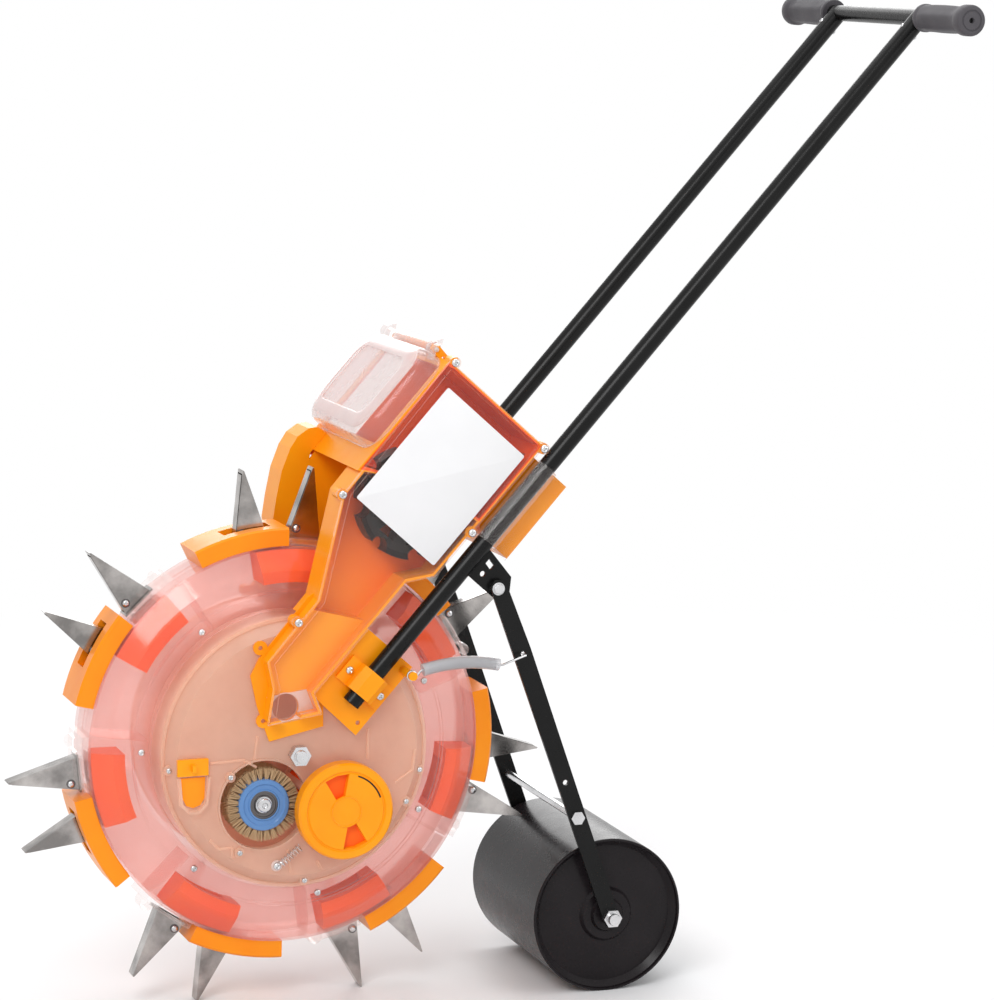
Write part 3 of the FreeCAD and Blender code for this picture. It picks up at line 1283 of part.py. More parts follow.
def make_drum_screws():
    """Seven screws in each half's flange."""
    rings = []
    for side, angle in ((1, seed_angle(0)), (-1, feed_angle(0))):
        ring = Piece("screw_ring")
        start = "flange_face - drum_wall" if side > 0 else "-flange_face"
        shank = ring.pad(ring.many_sided(ring.sketch("XZ_Plane", start), "screw_circle", "screw_offset",
                                         "screw_radius"), "drum_wall")
        start = "flange_face" if side > 0 else "-flange_face - 2.4"
        head = ring.pad(ring.many_sided(ring.sketch("XZ_Plane", start), "screw_circle", "screw_offset",
                                        "screw_head"), "2.4")
        ring.around([shank, head], 7)
        rings.append(ring.finish(angle - size("fin_lag")))
    return group("drum_screws", rings)


def build():
    """Make every sub-part, in the order they go together."""
    fill_sheet()
    chamber = make_near_chamber()
    cover = make_near_chamber_cover()
    roller = make_metering_roller()
    gear = make_roller_gear()
    brush = make_brush_wheel()
    cap = make_roller_cap()
    panel = make_near_panel()
    made = [
        make_hopper_body(), make_near_chute(), mirrored("far_chute", make_near_chute("far_chute_source", 1)),
        panel, mirrored("far_panel", panel), make_rod_clamps(), make_rod_saddles(),
        make_rod("near_rod", "rod_side"), make_rod("far_rod", "-rod_side"), make_handle_bar(), make_grips(),
        make_arm_brackets(), make_axle(), make_axle_nuts(), chamber, mirrored("far_chamber", chamber),
        cover, make_far_chamber_cover(), make_case_screws(), make_lid_hinge_pin(),
        make_brush_bolts(), make_press_springs(), make_hopper_lid(),
        make_drum_half("near_drum_half", seed_angle(0)), make_far_drum_half(), make_drum_hub(),
        make_wheel_bearings(), make_orange_seats(), make_clear_seats(), make_fixed_beaks(), make_jaw_pins(),
        make_inner_chutes(), make_drum_screws(), roller, mirrored("far_metering_roller", roller), gear,
        mirrored("far_roller_gear", gear), brush, mirrored("far_brush_wheel", brush), cap,
        mirrored("far_roller_cap", cap), make_press_arms(), make_press_crossbars(), make_press_roller(),
        make_feed_rotor(), make_cleanout_plug()]
    made += make_jaws()
    doc.recompute()
    return made


def check(pieces):
    """Stop if any object failed, or if a sub-part has no sound shape."""
    for thing in doc.Objects:
        if "Invalid" in thing.State or "Error" in thing.State:
            raise RuntimeError(f"{thing.Label} failed: {thing.State}")
    for piece in pieces:
        if piece.Shape.isNull() or not piece.Shape.isValid() or not piece.Shape.Solids:
            raise RuntimeError(f"{piece.Label} has no sound shape")


def export(pieces):
    """Write each sub-part under its label."""
    os.makedirs("parts", exist_ok=True)
    for piece in pieces:
        piece.Shape.exportStep(f"parts/{piece.Label}.step")


parts = build()
check(parts)
export(parts)
for part in parts:
    print(part.Label, len(part.Shape.Solids), round(part.Shape.Volume / 1000, 1), "cm3")
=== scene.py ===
import json
import math
import random

import bmesh
import bpy
from mathutils import Matrix, Vector


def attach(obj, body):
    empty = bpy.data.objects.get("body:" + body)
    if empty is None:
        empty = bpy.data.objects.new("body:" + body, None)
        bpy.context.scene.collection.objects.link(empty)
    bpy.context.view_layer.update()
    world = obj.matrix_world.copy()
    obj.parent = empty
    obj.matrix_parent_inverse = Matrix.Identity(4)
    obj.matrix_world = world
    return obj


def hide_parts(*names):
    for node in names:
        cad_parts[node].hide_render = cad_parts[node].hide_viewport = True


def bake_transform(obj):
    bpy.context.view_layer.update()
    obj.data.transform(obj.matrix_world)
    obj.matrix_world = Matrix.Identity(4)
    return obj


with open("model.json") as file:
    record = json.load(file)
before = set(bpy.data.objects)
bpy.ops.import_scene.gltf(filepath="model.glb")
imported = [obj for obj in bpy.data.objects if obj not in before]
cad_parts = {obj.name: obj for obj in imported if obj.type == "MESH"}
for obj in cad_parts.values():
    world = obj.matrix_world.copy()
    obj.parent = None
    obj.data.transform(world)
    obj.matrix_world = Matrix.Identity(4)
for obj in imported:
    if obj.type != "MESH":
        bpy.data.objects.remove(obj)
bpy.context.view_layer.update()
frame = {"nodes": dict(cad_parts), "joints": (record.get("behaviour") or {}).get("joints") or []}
nodes = frame["nodes"]
joints = {joint["name"]: joint for joint in frame["joints"]}
random.seed(7)

# The axle and the rods' lean, in the frame's metres. Positions in the rods' frame are (along, side, forward).
AXLE = Vector(joints["wheel_spin"]["pos_m"])
ROD_ANGLE = math.radians(48.13)
ALONG = Vector((math.cos(ROD_ANGLE), 0.0, math.sin(ROD_ANGLE)))
FORWARD = Vector((-math.sin(ROD_ANGLE), 0.0, math.cos(ROD_ANGLE)))
SIDE = Vector((0.0, 1.0, 0.0))
MM = 0.001
TURN = 2 * math.pi

# The beaks' places round the wheel, in degrees: two sets of seven, the second a little onward of the first
BEAKS = 7
BEAK_PITCH = 360 / BEAKS
STAGGER = 15.0
FIRST_BEAK = -90 + 18.2143


def rod_point(along, side, forward):
    """A point of the rods' frame, given in millimetres."""
    return AXLE + (ALONG * along + SIDE * side + FORWARD * forward) * MM


def axle_point(x, y, z):
    """A point beside the axle, given in millimetres."""
    return AXLE + Vector((x, y, z)) * MM


def wheel_point(angle, outward, y, onward):
    """A point on the wheel: outward along a direction in degrees, and onward across it, in millimetres."""
    turned = math.radians(angle)
    return axle_point(outward * math.cos(turned) - onward * math.sin(turned), y,
                      outward * math.sin(turned) + onward * math.cos(turned))


def radial(angle):
    """The unit vector away from the axle at an angle in radians."""
    return Vector((math.cos(angle), 0, math.sin(angle)))


# Materials are written with small helpers for shader nodes. Noise scales are in features per metre.

COLOUR_PATCHES = 14.0
SCUFFS = 60.0
MOULD_GRAIN = 1500.0
PLASTIC_CLOUDS = 22.0
METAL_LINES = 500.0
METAL_PATCHES = 30.0
PAINT_PATCHES = 18.0
PAINT_PEEL = 900.0
PAINT_SCUFFS = 70.0
# Painted shade: a redder orange standing for the shade and the red light that bounces inside the hopper and the
# chutes
INNER_SHADE_RED = (0.97, 0.115, 0.008)

# The hopper's inner faces and the chutes' floors, where painted shade goes, in millimetres from the axle
HOPPER_TOP = 397.7
HOPPER_BACK, HOPPER_FRONT = 18.3, 151.7
ARCH_RADIUS = 298.4
CHUTE_FLOOR = (58.5, 61.0)
CHUTE_CLIMB = (120.0, 250.0)


def new_material(name):
    """An empty node material with its Principled shader and a texture coordinate node."""
    material = bpy.data.materials.new(name)
    material.use_nodes = True
    tree = material.node_tree
    shader = tree.nodes["Principled BSDF"]
    place = tree.nodes.new("ShaderNodeTexCoord")
    return material, tree, shader, place.outputs["Object"]


def noise(tree, place, scale, detail=4.0, rough=0.5, stretch=None):
    """A noise texture in object space, stretched along an axis if asked."""
    source = place
    if stretch:
        mapping = tree.nodes.new("ShaderNodeMapping")
        mapping.inputs["Scale"].default_value = stretch
        tree.links.new(place, mapping.inputs["Vector"])
        source = mapping.outputs["Vector"]
    texture = tree.nodes.new("ShaderNodeTexNoise")
    texture.inputs["Scale"].default_value = scale
    texture.inputs["Detail"].default_value = detail
    texture.inputs["Roughness"].default_value = rough
    tree.links.new(source, texture.inputs["Vector"])
    return texture.outputs["Fac"]


def ramp(tree, value, stops):
    """A colour ramp from a value."""
    node = tree.nodes.new("ShaderNodeValToRGB")
    elements = node.color_ramp.elements
    for index, (position, colour) in enumerate(stops):
        element = elements[index] if index < 2 else elements.new(position)
        element.position = position
        element.color = colour if len(colour) == 4 else (*colour, 1.0)
    tree.links.new(value, node.inputs["Fac"])
    return node.outputs["Color"]


def spread(tree, value, low, high, source=(0.0, 1.0)):
    """Map a value's range, 0 to 1 unless another is given, to the range between two numbers."""
    node = tree.nodes.new("ShaderNodeMapRange")
    node.inputs["From Min"].default_value, node.inputs["From Max"].default_value = source
    node.inputs["To Min"].default_value = low
    node.inputs["To Max"].default_value = high
    tree.links.new(value, node.inputs["Value"])
    return node.outputs["Result"]


def give(tree, socket, value):
    """Set a socket to a number, or link another node's value to it."""
    if isinstance(value, (int, float)):
        socket.default_value = value
    else:
        tree.links.new(value, socket)


def maths(tree, operation, first, second=0.0):
    """A maths node on a value and, where it takes two, a number or another value."""
    node = tree.nodes.new("ShaderNodeMath")
    node.operation = operation
    tree.links.new(first, node.inputs[0])
    give(tree, node.inputs[1], second)
    return node.outputs[0]


def between(tree, value, low, high):
    """1 where a value lies between two numbers, and 0 elsewhere."""
    return maths(tree, "MULTIPLY", maths(tree, "GREATER_THAN", value, low), maths(tree, "LESS_THAN", value, high))


def mix_shaders(tree, share, first, second):
    """Two shaders blended by a number or a value."""
    node = tree.nodes.new("ShaderNodeMixShader")
    give(tree, node.inputs["Fac"], share)
    tree.links.new(first, node.inputs[1])
    tree.links.new(second, node.inputs[2])
    return node.outputs["Shader"]


def bump(tree, shader, height, strength, distance):
    """Roughen a shader's normal by a height."""
    node = tree.nodes.new("ShaderNodeBump")
    node.inputs["Strength"].default_value = strength
    node.inputs["Distance"].default_value = distance
    tree.links.new(height, node.inputs["Height"])
    tree.links.new(node.outputs["Normal"], shader.inputs["Normal"])


def moulded(name, colour, deeper, roughness, grain=0.012, coat=0.0, inside=None):
    """Moulded plastic: slightly uneven colour, scuffed shine and fine grain, and painted shade, a redder orange,
    where inside says so.
    """
    material, tree, shader, place = new_material(name)
    patches = noise(tree, place, COLOUR_PATCHES, 3.0)
    surface = ramp(tree, patches, [(0.3, deeper), (0.7, colour)])
    if inside:
        # Painted shade: the inner red is mixed over the plastic's colour where the mask is 1
        blend = tree.nodes.new("ShaderNodeMix")
        blend.data_type = "RGBA"
        tree.links.new(inside(tree, place), blend.inputs[0])
        tree.links.new(surface, blend.inputs[6])
        blend.inputs[7].default_value = (*INNER_SHADE_RED, 1.0)
        surface = blend.outputs[2]
    tree.links.new(surface, shader.inputs["Base Color"])
    scuffs = noise(tree, place, SCUFFS, 6.0, 0.65)
    tree.links.new(spread(tree, scuffs, roughness - 0.09, roughness + 0.10), shader.inputs["Roughness"])
    bump(tree, shader, noise(tree, place, MOULD_GRAIN, 2.0), grain, 0.0004)
    shader.inputs["Specular IOR Level"].default_value = 0.2
    shader.inputs["Coat Weight"].default_value = coat
    shader.inputs["Coat Roughness"].default_value = 0.12
    return material


def along_direction(tree, place, direction):
    """How far a point lies from the axle along a direction, in millimetres."""
    dot = tree.nodes.new("ShaderNodeVectorMath")
    dot.operation = "DOT_PRODUCT"
    dot.inputs[1].default_value = direction / MM
    tree.links.new(place, dot.inputs[0])
    return maths(tree, "SUBTRACT", dot.outputs["Value"], AXLE.dot(direction) / MM)


def hopper_painted_shade(tree, place):
    """Painted shade on the hopper: 1 on the hopper's inner faces and 0 on its outer ones."""
    up = along_direction(tree, place, ALONG)
    front = along_direction(tree, place, FORWARD)
    squares = maths(tree, "ADD", maths(tree, "MULTIPLY", up, up), maths(tree, "MULTIPLY", front, front))
    above_arch = maths(tree, "GREATER_THAN", maths(tree, "SQRT", squares), ARCH_RADIUS)
    below_top = maths(tree, "LESS_THAN", up, HOPPER_TOP)
    within = maths(tree, "MULTIPLY", below_top, between(tree, front, HOPPER_BACK, HOPPER_FRONT))
    return maths(tree, "MULTIPLY", within, above_arch)


def chute_painted_shade(tree, place):
    """Painted shade in the chutes: it rises up the chutes' floors from the outlet to the hopper, and is 0 elsewhere.
    """
    depth = maths(tree, "ABSOLUTE", along_direction(tree, place, SIDE))
    facing = tree.nodes.new("ShaderNodeSeparateXYZ")
    tree.links.new(tree.nodes["Texture Coordinate"].outputs["Normal"], facing.inputs[0])
    faces_out = maths(tree, "GREATER_THAN", maths(tree, "ABSOLUTE", facing.outputs["Y"]), 0.9)
    floor = maths(tree, "MULTIPLY", between(tree, depth, *CHUTE_FLOOR), faces_out)
    climb = spread(tree, along_direction(tree, place, ALONG), 0.15, 1.0, CHUTE_CLIMB)
    return maths(tree, "MULTIPLY", floor, climb)


def see_through(name, colour, roughness, haze, edge, tint=0.5, milk=0.35, sheen=0.02):
    """Clear plastic: light passes straight through, but the haze grows where a wall is seen edge-on.

    haze and edge are its cover seen straight and edge-on, tint how much it colours what is behind it, milk how much
    of the cover lets light through, and sheen how much it mirrors when seen straight.
    """
    material, tree, shader, place = new_material(name)
    cloudy = noise(tree, place, PLASTIC_CLOUDS, 4.0)
    shader.inputs["Base Color"].default_value = (*colour, 1.0)
    tree.links.new(spread(tree, cloudy, roughness, roughness + 0.06), shader.inputs["Roughness"])
    shader.inputs["Coat Weight"].default_value = 0.6
    shader.inputs["Coat Roughness"].default_value = 0.04
    clear = tree.nodes.new("ShaderNodeBsdfTransparent")
    clear.inputs["Color"].default_value = (*[1.0 - tint * (1.0 - part) for part in colour], 1.0)
    facing = tree.nodes.new("ShaderNodeLayerWeight")
    facing.inputs["Blend"].default_value = 0.5
    steep = maths(tree, "POWER", facing.outputs["Facing"], 2.6)
    uneven = spread(tree, cloudy, 0.8, 1.25)
    body = maths(tree, "MULTIPLY", spread(tree, steep, haze, edge), uneven)
    scattered = tree.nodes.new("ShaderNodeBsdfTranslucent")
    scattered.inputs["Color"].default_value = (*colour, 1.0)
    milky = mix_shaders(tree, milk, shader.outputs["BSDF"], scattered.outputs["BSDF"])
    wall = mix_shaders(tree, body, clear.outputs["BSDF"], milky)
    gloss = tree.nodes.new("ShaderNodeBsdfGlossy")
    gloss.inputs["Color"].default_value = (1.0, 1.0, 1.0, 1.0)
    gloss.inputs["Roughness"].default_value = roughness
    glancing = maths(tree, "POWER", facing.outputs["Facing"], 5.0)
    shiny = mix_shaders(tree, spread(tree, glancing, sheen, 0.7), wall, gloss.outputs["BSDF"])
    tree.links.new(shiny, tree.nodes["Material Output"].inputs["Surface"])
    bump(tree, shader, cloudy, 0.05, 0.001)
    return material


def metal(name, colour, roughness, scratch=(1.0, 1.0, 1.0), depth=0.025, dark=0.78):
    """Bare or plated steel with fine scratches and dull patches."""
    material, tree, shader, place = new_material(name)
    lines = noise(tree, place, METAL_LINES, 3.0, 0.6, scratch)
    patches = noise(tree, place, METAL_PATCHES, 4.0)
    darker = tuple(dark * part for part in colour)
    tree.links.new(ramp(tree, patches, [(0.35, darker), (0.65, colour)]), shader.inputs["Base Color"])
    tree.links.new(spread(tree, lines, roughness - 0.06, roughness + 0.10), shader.inputs["Roughness"])
    shader.inputs["Metallic"].default_value = 1.0
    bump(tree, shader, lines, depth, 0.0003)
    return material


def painted(name, colour, roughness, orange_peel=0.03):
    """Powder-coated steel: dark paint with a slight orange-peel surface."""
    material, tree, shader, place = new_material(name)
    patches = noise(tree, place, PAINT_PATCHES, 3.0)
    lighter = tuple(part * 1.5 + 0.002 for part in colour)
    tree.links.new(ramp(tree, patches, [(0.3, colour), (0.75, lighter)]), shader.inputs["Base Color"])
    peel = noise(tree, place, PAINT_PEEL, 2.0)
    scuffs = noise(tree, place, PAINT_SCUFFS, 6.0, 0.7)
    tree.links.new(spread(tree, scuffs, roughness - 0.08, roughness + 0.12), shader.inputs["Roughness"])
    bump(tree, shader, peel, orange_peel, 0.0003)
    shader.inputs["Coat Weight"].default_value = 0.04
    shader.inputs["Coat Roughness"].default_value = 0.1
    shader.inputs["Specular IOR Level"].default_value = 0.16
    return material


ORANGE = moulded("orange_plastic", (0.97, 0.37, 0.004), (0.96, 0.31, 0.003), 0.32, coat=0.07)
# The hopper's and the chutes' plastics carry painted shade: redder orange on the hopper's inner faces and up the
# chutes' floors
HOPPER_ORANGE = moulded("hopper_plastic_painted_shade", (0.97, 0.36, 0.004), (0.96, 0.30, 0.003), 0.32, coat=0.07,
                        inside=hopper_painted_shade)
CHUTE_ORANGE = moulded("chute_plastic_painted_shade", (0.97, 0.37, 0.004), (0.96, 0.31, 0.003), 0.32, coat=0.07,
                       inside=chute_painted_shade)
SEAT_ORANGE = moulded("seat_orange_plastic", (0.96, 0.31, 0.006), (0.95, 0.26, 0.005), 0.32, coat=0.07)
DEEP_ORANGE = moulded("deep_orange_plastic", (0.97, 0.15, 0.008), (0.95, 0.11, 0.006), 0.42)
CLEAR = see_through("clear_plastic", (1.0, 0.90, 0.86), 0.05, 0.02, 0.45, tint=0.10, sheen=0.010)
LID_CLEAR = see_through("lid_plastic", (0.86, 0.77, 0.76), 0.10, 0.11, 0.85, tint=0.16, sheen=0.012)
CLEAR_DRUM = see_through("clear_drum_plastic", (0.98, 0.64, 0.59), 0.07, 0.06, 0.82, tint=0.21)
FROSTED = see_through("frosted_plastic", (0.98, 0.74, 0.59), 0.35, 0.50, 0.93, tint=0.18, milk=0.5)
RIM_CLEAR = see_through("lid_rim_plastic", (0.90, 0.80, 0.79), 0.2, 0.42, 0.9, tint=0.05, sheen=0.012)
PALE = see_through("pale_plastic", (0.98, 0.86, 0.82), 0.30, 0.75, 0.95, tint=0.1)
WEB = see_through("milky_plastic", (0.99, 0.72, 0.67), 0.25, 0.42, 0.85, tint=0.15, milk=0.5)
BLACK_PAINT = painted("black_paint", (0.004, 0.004, 0.004), 0.26)
BLACK_PLASTIC = moulded("black_plastic", (0.014, 0.013, 0.014), (0.010, 0.010, 0.011), 0.38)
ROLLER_COAT = painted("roller_coat", (0.008, 0.006, 0.007), 0.26, 0.06)
STEEL = metal("zinc_steel", (0.70, 0.70, 0.71), 0.24)
BEAK_STEEL = metal("beak_steel", (0.53, 0.50, 0.48), 0.16, (1.0, 14.0, 1.0), 0.04, 0.42)
DARK_STEEL = metal("dark_steel", (0.16, 0.15, 0.15), 0.35)
BRISTLE = moulded("bristle_tan", (0.62, 0.44, 0.26), (0.42, 0.27, 0.14), 0.6)
BLUE = moulded("blue_plastic", (0.13, 0.28, 0.56), (0.09, 0.21, 0.46), 0.30, coat=0.3)
RUBBER = moulded("grip_rubber", (0.085, 0.080, 0.088), (0.055, 0.052, 0.058), 0.55, grain=0.14)
SLEEVE = see_through("spring_sleeve", (0.66, 0.66, 0.68), 0.12, 0.50, 0.92, tint=0.1)
WHITE_PLATE = moulded("white_plate", (0.84, 0.84, 0.85), (0.80, 0.80, 0.81), 0.32, grain=0.01, coat=0.2)


def paint(material, *names):
    """Give CAD nodes a material in all their slots."""
    for name in names:
        data = nodes[name].data
        data.materials.clear()
        data.materials.append(material)


paint(HOPPER_ORANGE, "hopper_body")
paint(CHUTE_ORANGE, "near_chute", "far_chute")
paint(ORANGE, "rod_saddles", "near_roller_cap", "far_roller_cap", "cleanout_plug")
paint(SEAT_ORANGE, "orange_seats")
paint(DEEP_ORANGE, "inner_chutes", "near_metering_roller", "far_metering_roller")
paint(CLEAR, "near_panel", "far_panel", "rod_clamps", "hopper_lid", "clear_seats")
paint(CLEAR_DRUM, "near_drum_half", "far_drum_half")
paint(FROSTED, "near_chamber", "far_chamber", "near_chamber_cover", "far_chamber_cover")
paint(WEB, "drum_hub")
paint(BLACK_PAINT, "near_rod", "far_rod", "handle_bar", "arm_brackets", "press_arms")
paint(ROLLER_COAT, "press_roller")
paint(STEEL, "axle", "axle_nuts", "case_screws", "lid_hinge_pin", "brush_bolts", "jaw_pins", "drum_screws",
      "wheel_bearings", "press_crossbars")
paint(BLACK_PLASTIC, "near_roller_gear", "far_roller_gear", "feed_rotor")
paint(RUBBER, "handle_grips")
paint(BRISTLE, "near_brush_wheel", "far_brush_wheel")
paint(SLEEVE, "press_springs")
JAWS = [f"{kind}_jaw_{index}" for kind in ("seed", "feed") for index in range(1, 8)]
paint(BEAK_STEEL, "fixed_beaks", *JAWS)


# Mesh helpers. Points and depths are in the frame's metres, radii and heights in millimetres.

def across_axis(axis):
    """An axis and two directions across it."""
    axis = Vector(axis).normalized()
    first = axis.orthogonal().normalized()
    return axis, first, axis.cross(first)


def join_rings(bm, lower, upper):
    """Faces between two rings of points, either of which may be a single point."""
    if len(lower) == 1 and len(upper) == 1:
        return
    count = max(len(lower), len(upper))
    for i in range(count):
        onward = (i + 1) % count
        if len(lower) == 1:
            bm.faces.new((lower[0], upper[onward], upper[i]))
        elif len(upper) == 1:
            bm.faces.new((lower[i], lower[onward], upper[0]))
        else:
            bm.faces.new((lower[i], lower[onward], upper[onward], upper[i]))


def join_all(bm, rings, closed=False):
    """Faces between each ring and the next, and from the last back to the first if closed."""
    for lower, upper in zip(rings, rings[1:]):
        join_rings(bm, lower, upper)
    if closed:
        join_rings(bm, rings[-1], rings[0])


def circle(bm, centre, first, second, radius, count):
    """A ring of points in the plane of two directions."""
    return [bm.verts.new(centre + (first * math.cos(TURN * i / count) + second * math.sin(TURN * i / count))
                         * radius * MM) for i in range(count)]


def lathe(bm, profile, base, axis, segments=32, closed=False, swell=None):
    """Turn (radius, height) corners about an axis through a point. swell can change a radius by its angle."""
    axis, first, second = across_axis(axis)
    rings = []
    for radius, height in profile:
        centre = base + axis * height * MM
        if radius == 0:
            rings.append([bm.verts.new(centre)])
            continue
        ring = []
        for i in range(segments):
            angle = TURN * i / segments
            reach = (radius if swell is None else swell(radius, height, angle)) * MM
            ring.append(bm.verts.new(centre + (first * math.cos(angle) + second * math.sin(angle)) * reach))
        rings.append(ring)
    join_all(bm, rings, closed)


def tube(bm, points, radius, sides=8):
    """Sweep a round section along points, with closed ends."""
    rings = []
    across = None
    for i, point in enumerate(points):
        run = (points[min(i + 1, len(points) - 1)] - points[max(i - 1, 0)]).normalized()
        if across is None:
            across = run.orthogonal().normalized()
        across = (across - run * across.dot(run)).normalized()
        rings.append(circle(bm, point, across, run.cross(across), radius, sides))
    join_all(bm, rings)
    bm.faces.new(list(reversed(rings[0])))
    bm.faces.new(rings[-1])


def prism(bm, corners, depth):
    """A closed solid from a loop of points and a depth vector."""
    low = [bm.verts.new(corner) for corner in corners]
    high = [bm.verts.new(corner + depth) for corner in corners]
    join_rings(bm, low, high)
    bm.faces.new(list(reversed(low)))
    bm.faces.new(high)


def make_piece(name, bm, material, body=None, stands_for=(), sharp=38.0):
    """Turn a bmesh into a smooth-shaded object that rides a body and stands for the CAD nodes it replaces."""
    bmesh.ops.recalc_face_normals(bm, faces=bm.faces)
    mesh = bpy.data.meshes.new(name)
    bm.to_mesh(mesh)
    bm.free()
    mesh.materials.append(material)
    mesh.shade_smooth()
    mesh.set_sharp_from_angle(angle=math.radians(sharp))
    piece = bpy.data.objects.new(name, mesh)
    bpy.context.scene.collection.objects.link(piece)
    if body:
        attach(piece, body)
    if stands_for:
        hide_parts(*stands_for)
    return piece


# The bare white plate on the near panel

PLATE_BOTTOM, PLATE_TOP = 233.0, 378.0
PLATE_BACK, PLATE_FRONT = 26.5, 136.5
PLATE_CORNER = 2.0
PLATE_LEVELS = [(0.05, 0.0), (0.55, 0.0), (0.8, 0.35)]
PANEL_FACE = 103.1


def make_label_plate():
    """A thin plate with rounded corners. Each level lies a lift off the panel and an edge in from the outline."""
    bm = bmesh.new()
    levels = []
    for lift, edge in PLATE_LEVELS:
        loop = []
        for along, forward, turned in ((PLATE_BOTTOM, PLATE_BACK, 180), (PLATE_TOP, PLATE_BACK, 270),
                                       (PLATE_TOP, PLATE_FRONT, 0), (PLATE_BOTTOM, PLATE_FRONT, 90)):
            middle_along = along + PLATE_CORNER * (1 if along == PLATE_BOTTOM else -1)
            middle_forward = forward + PLATE_CORNER * (1 if forward == PLATE_BACK else -1)
            reach = PLATE_CORNER - edge
            for step in range(5):
                angle = math.radians(turned + 22.5 * step)
                loop.append(bm.verts.new(rod_point(middle_along + reach * math.cos(angle), -PANEL_FACE - lift,
                                                   middle_forward + reach * math.sin(angle))))
        levels.append(loop)
    bm.faces.new(levels[0])
    join_all(bm, levels)
    bm.faces.new(levels[-1])
    make_piece("label_plate", bm, WHITE_PLATE, "frame")


# Screws with domed heads and a cross recess

def cross_recess(radius):
    """The recess's outline as (across, up) corners."""
    arm = radius * 0.55
    half = radius * 0.13
    return [(arm, -half), (arm, half), (half, half), (half, arm), (-half, arm), (-half, half), (-arm, half),
            (-arm, -half), (-half, -half), (-half, -arm), (half, -arm), (half, -half)]


def nearest_on_ring(corner, segments):
    """The number of the ring point on a corner's bearing."""
    return round(math.atan2(corner[1], corner[0]) / TURN * segments) % segments


def domed_screw(bm, place, axis, radius, height):
    """A domed head: its skirt, the recess's walls and floor, and the crown between them."""
    axis, first, second = across_axis(axis)
    segments = 24
    profile = [(1.0, 0.0), (1.0, 0.25), (0.92, 0.62), (0.76, 0.88)]
    rings = [circle(bm, place + axis * lift * height * MM, first, second, share * radius, segments)
             for share, lift in profile]
    join_all(bm, rings)
    bm.faces.new(list(reversed(rings[0])))
    recess = cross_recess(radius)
    rim = [bm.verts.new(place + axis * height * MM + (first * a + second * b) * MM) for a, b in recess]
    floor = [bm.verts.new(place + axis * 0.35 * height * MM + (first * a + second * b) * 0.8 * MM)
             for a, b in recess]
    join_rings(bm, rim, floor)
    bm.faces.new(floor)
    # the crown runs from each side of the recess to the ring points on that side's bearing
    outer = rings[-1]
    count = len(rim)
    for i in range(count):
        start = nearest_on_ring(recess[i], segments)
        end = nearest_on_ring(recess[(i + 1) % count], segments)
        span = (end - start) % segments
        fan = [outer[(start + k) % segments] for k in range(span + 1)]
        bm.faces.new([rim[i]] + fan + [rim[(i + 1) % count]])


# Screws of the case as (along, forward), and of the covers as (reach, angle) from the axle
HOPPER_EARS = [(401.0, 148.0), (397.0, 16.0)]
CHUTE_EARS = [(226.0, 150.0), (100.0, 99.0), (284.0, 18.0)]
SADDLE_SCREWS = [(98.0, 21.5), (98.0, -21.5)]
COVER_SCREWS = [(133.6, -86.5), (127.8, -26.3), (134, -11.2), (133.5, -176.0), (115.6, -122.7), (74.0, -165.4)]
PANEL_TOP = 106.1
SADDLE_TOP = 96.2
COVER_FACE = 80.0
COVER_SLOPE_START = 126
COVER_SLOPE = 16 / 13
BOSS_HEIGHT = 3.4
FLANGE_FACE = 50.5
SCREW_CIRCLE = 155.5
SCREW_OFFSET = 12.0
FIN_LAG = 12.0

# Heads as (radius, height)
CASE_SCREW = (4.2, 2.6)
COVER_SCREW = (2.9, 1.7)
DRUM_SCREW = (3.6, 2.2)
ROD_SCREW = (2.6, 1.5)
SPRING_SCREW = (4.0, 2.6)


def make_case_screws():
    """The screws of the hopper's and chutes' ears and of the rod saddles."""
    bm = bmesh.new()
    for side in (-1, 1):
        outward = SIDE * side
        for along, forward in HOPPER_EARS + CHUTE_EARS:
            domed_screw(bm, rod_point(along, side * PANEL_TOP, forward), outward, *CASE_SCREW)
        for along, forward in SADDLE_SCREWS:
            domed_screw(bm, rod_point(along, side * SADDLE_TOP, forward), outward, *CASE_SCREW)
    make_piece("domed_case_screws", bm, STEEL, "frame", ["case_screws"])


def make_cover_screws():
    """The small screws of the two chamber covers, each on a short boss."""
    bm = bmesh.new()
    bosses = bmesh.new()
    for side in (-1, 1):
        for reach, angle in COVER_SCREWS:
            face = COVER_FACE - max(0, reach - COVER_SLOPE_START) * COVER_SLOPE
            foot = wheel_point(angle, reach, side * (face - 0.5), 0)
            lathe(bosses, [(0, 0), (5.4, 0), (5.0, BOSS_HEIGHT), (0, BOSS_HEIGHT)], foot, SIDE * side, 20)
            domed_screw(bm, foot + SIDE * side * BOSS_HEIGHT * MM, SIDE * side, *COVER_SCREW)
    make_piece("cover_bosses", bosses, FROSTED, "frame")
    make_piece("cover_screws", bm, STEEL, "frame")


def make_drum_screws():
    """The screws in the wheel's flanges, one beside each beak."""
    bm = bmesh.new()
    for side, phase in ((-1, FIRST_BEAK), (1, FIRST_BEAK + STAGGER)):
        for index in range(BEAKS):
            place = wheel_point(phase - FIN_LAG + BEAK_PITCH * index, SCREW_CIRCLE, side * FLANGE_FACE, SCREW_OFFSET)
            domed_screw(bm, place, SIDE * side, *DRUM_SCREW)
    make_piece("domed_drum_screws", bm, STEEL, "wheel", ["drum_screws"])


# Rivet heads on the beaks' hinge pins, with a dark washer on each

PIN_REACH = 221.0
PIN_ONWARD = 10.5
BEAK_FACE = 9.05
RIVET_HEAD = [(0, 0.7), (3.6, 0.7), (3.4, 1.5), (2.6, 2.2), (1.2, 2.5), (0, 2.55)]
RIVET_WASHER = [(0, 0), (4.6, 0), (4.6, 0.7), (0, 0.7)]


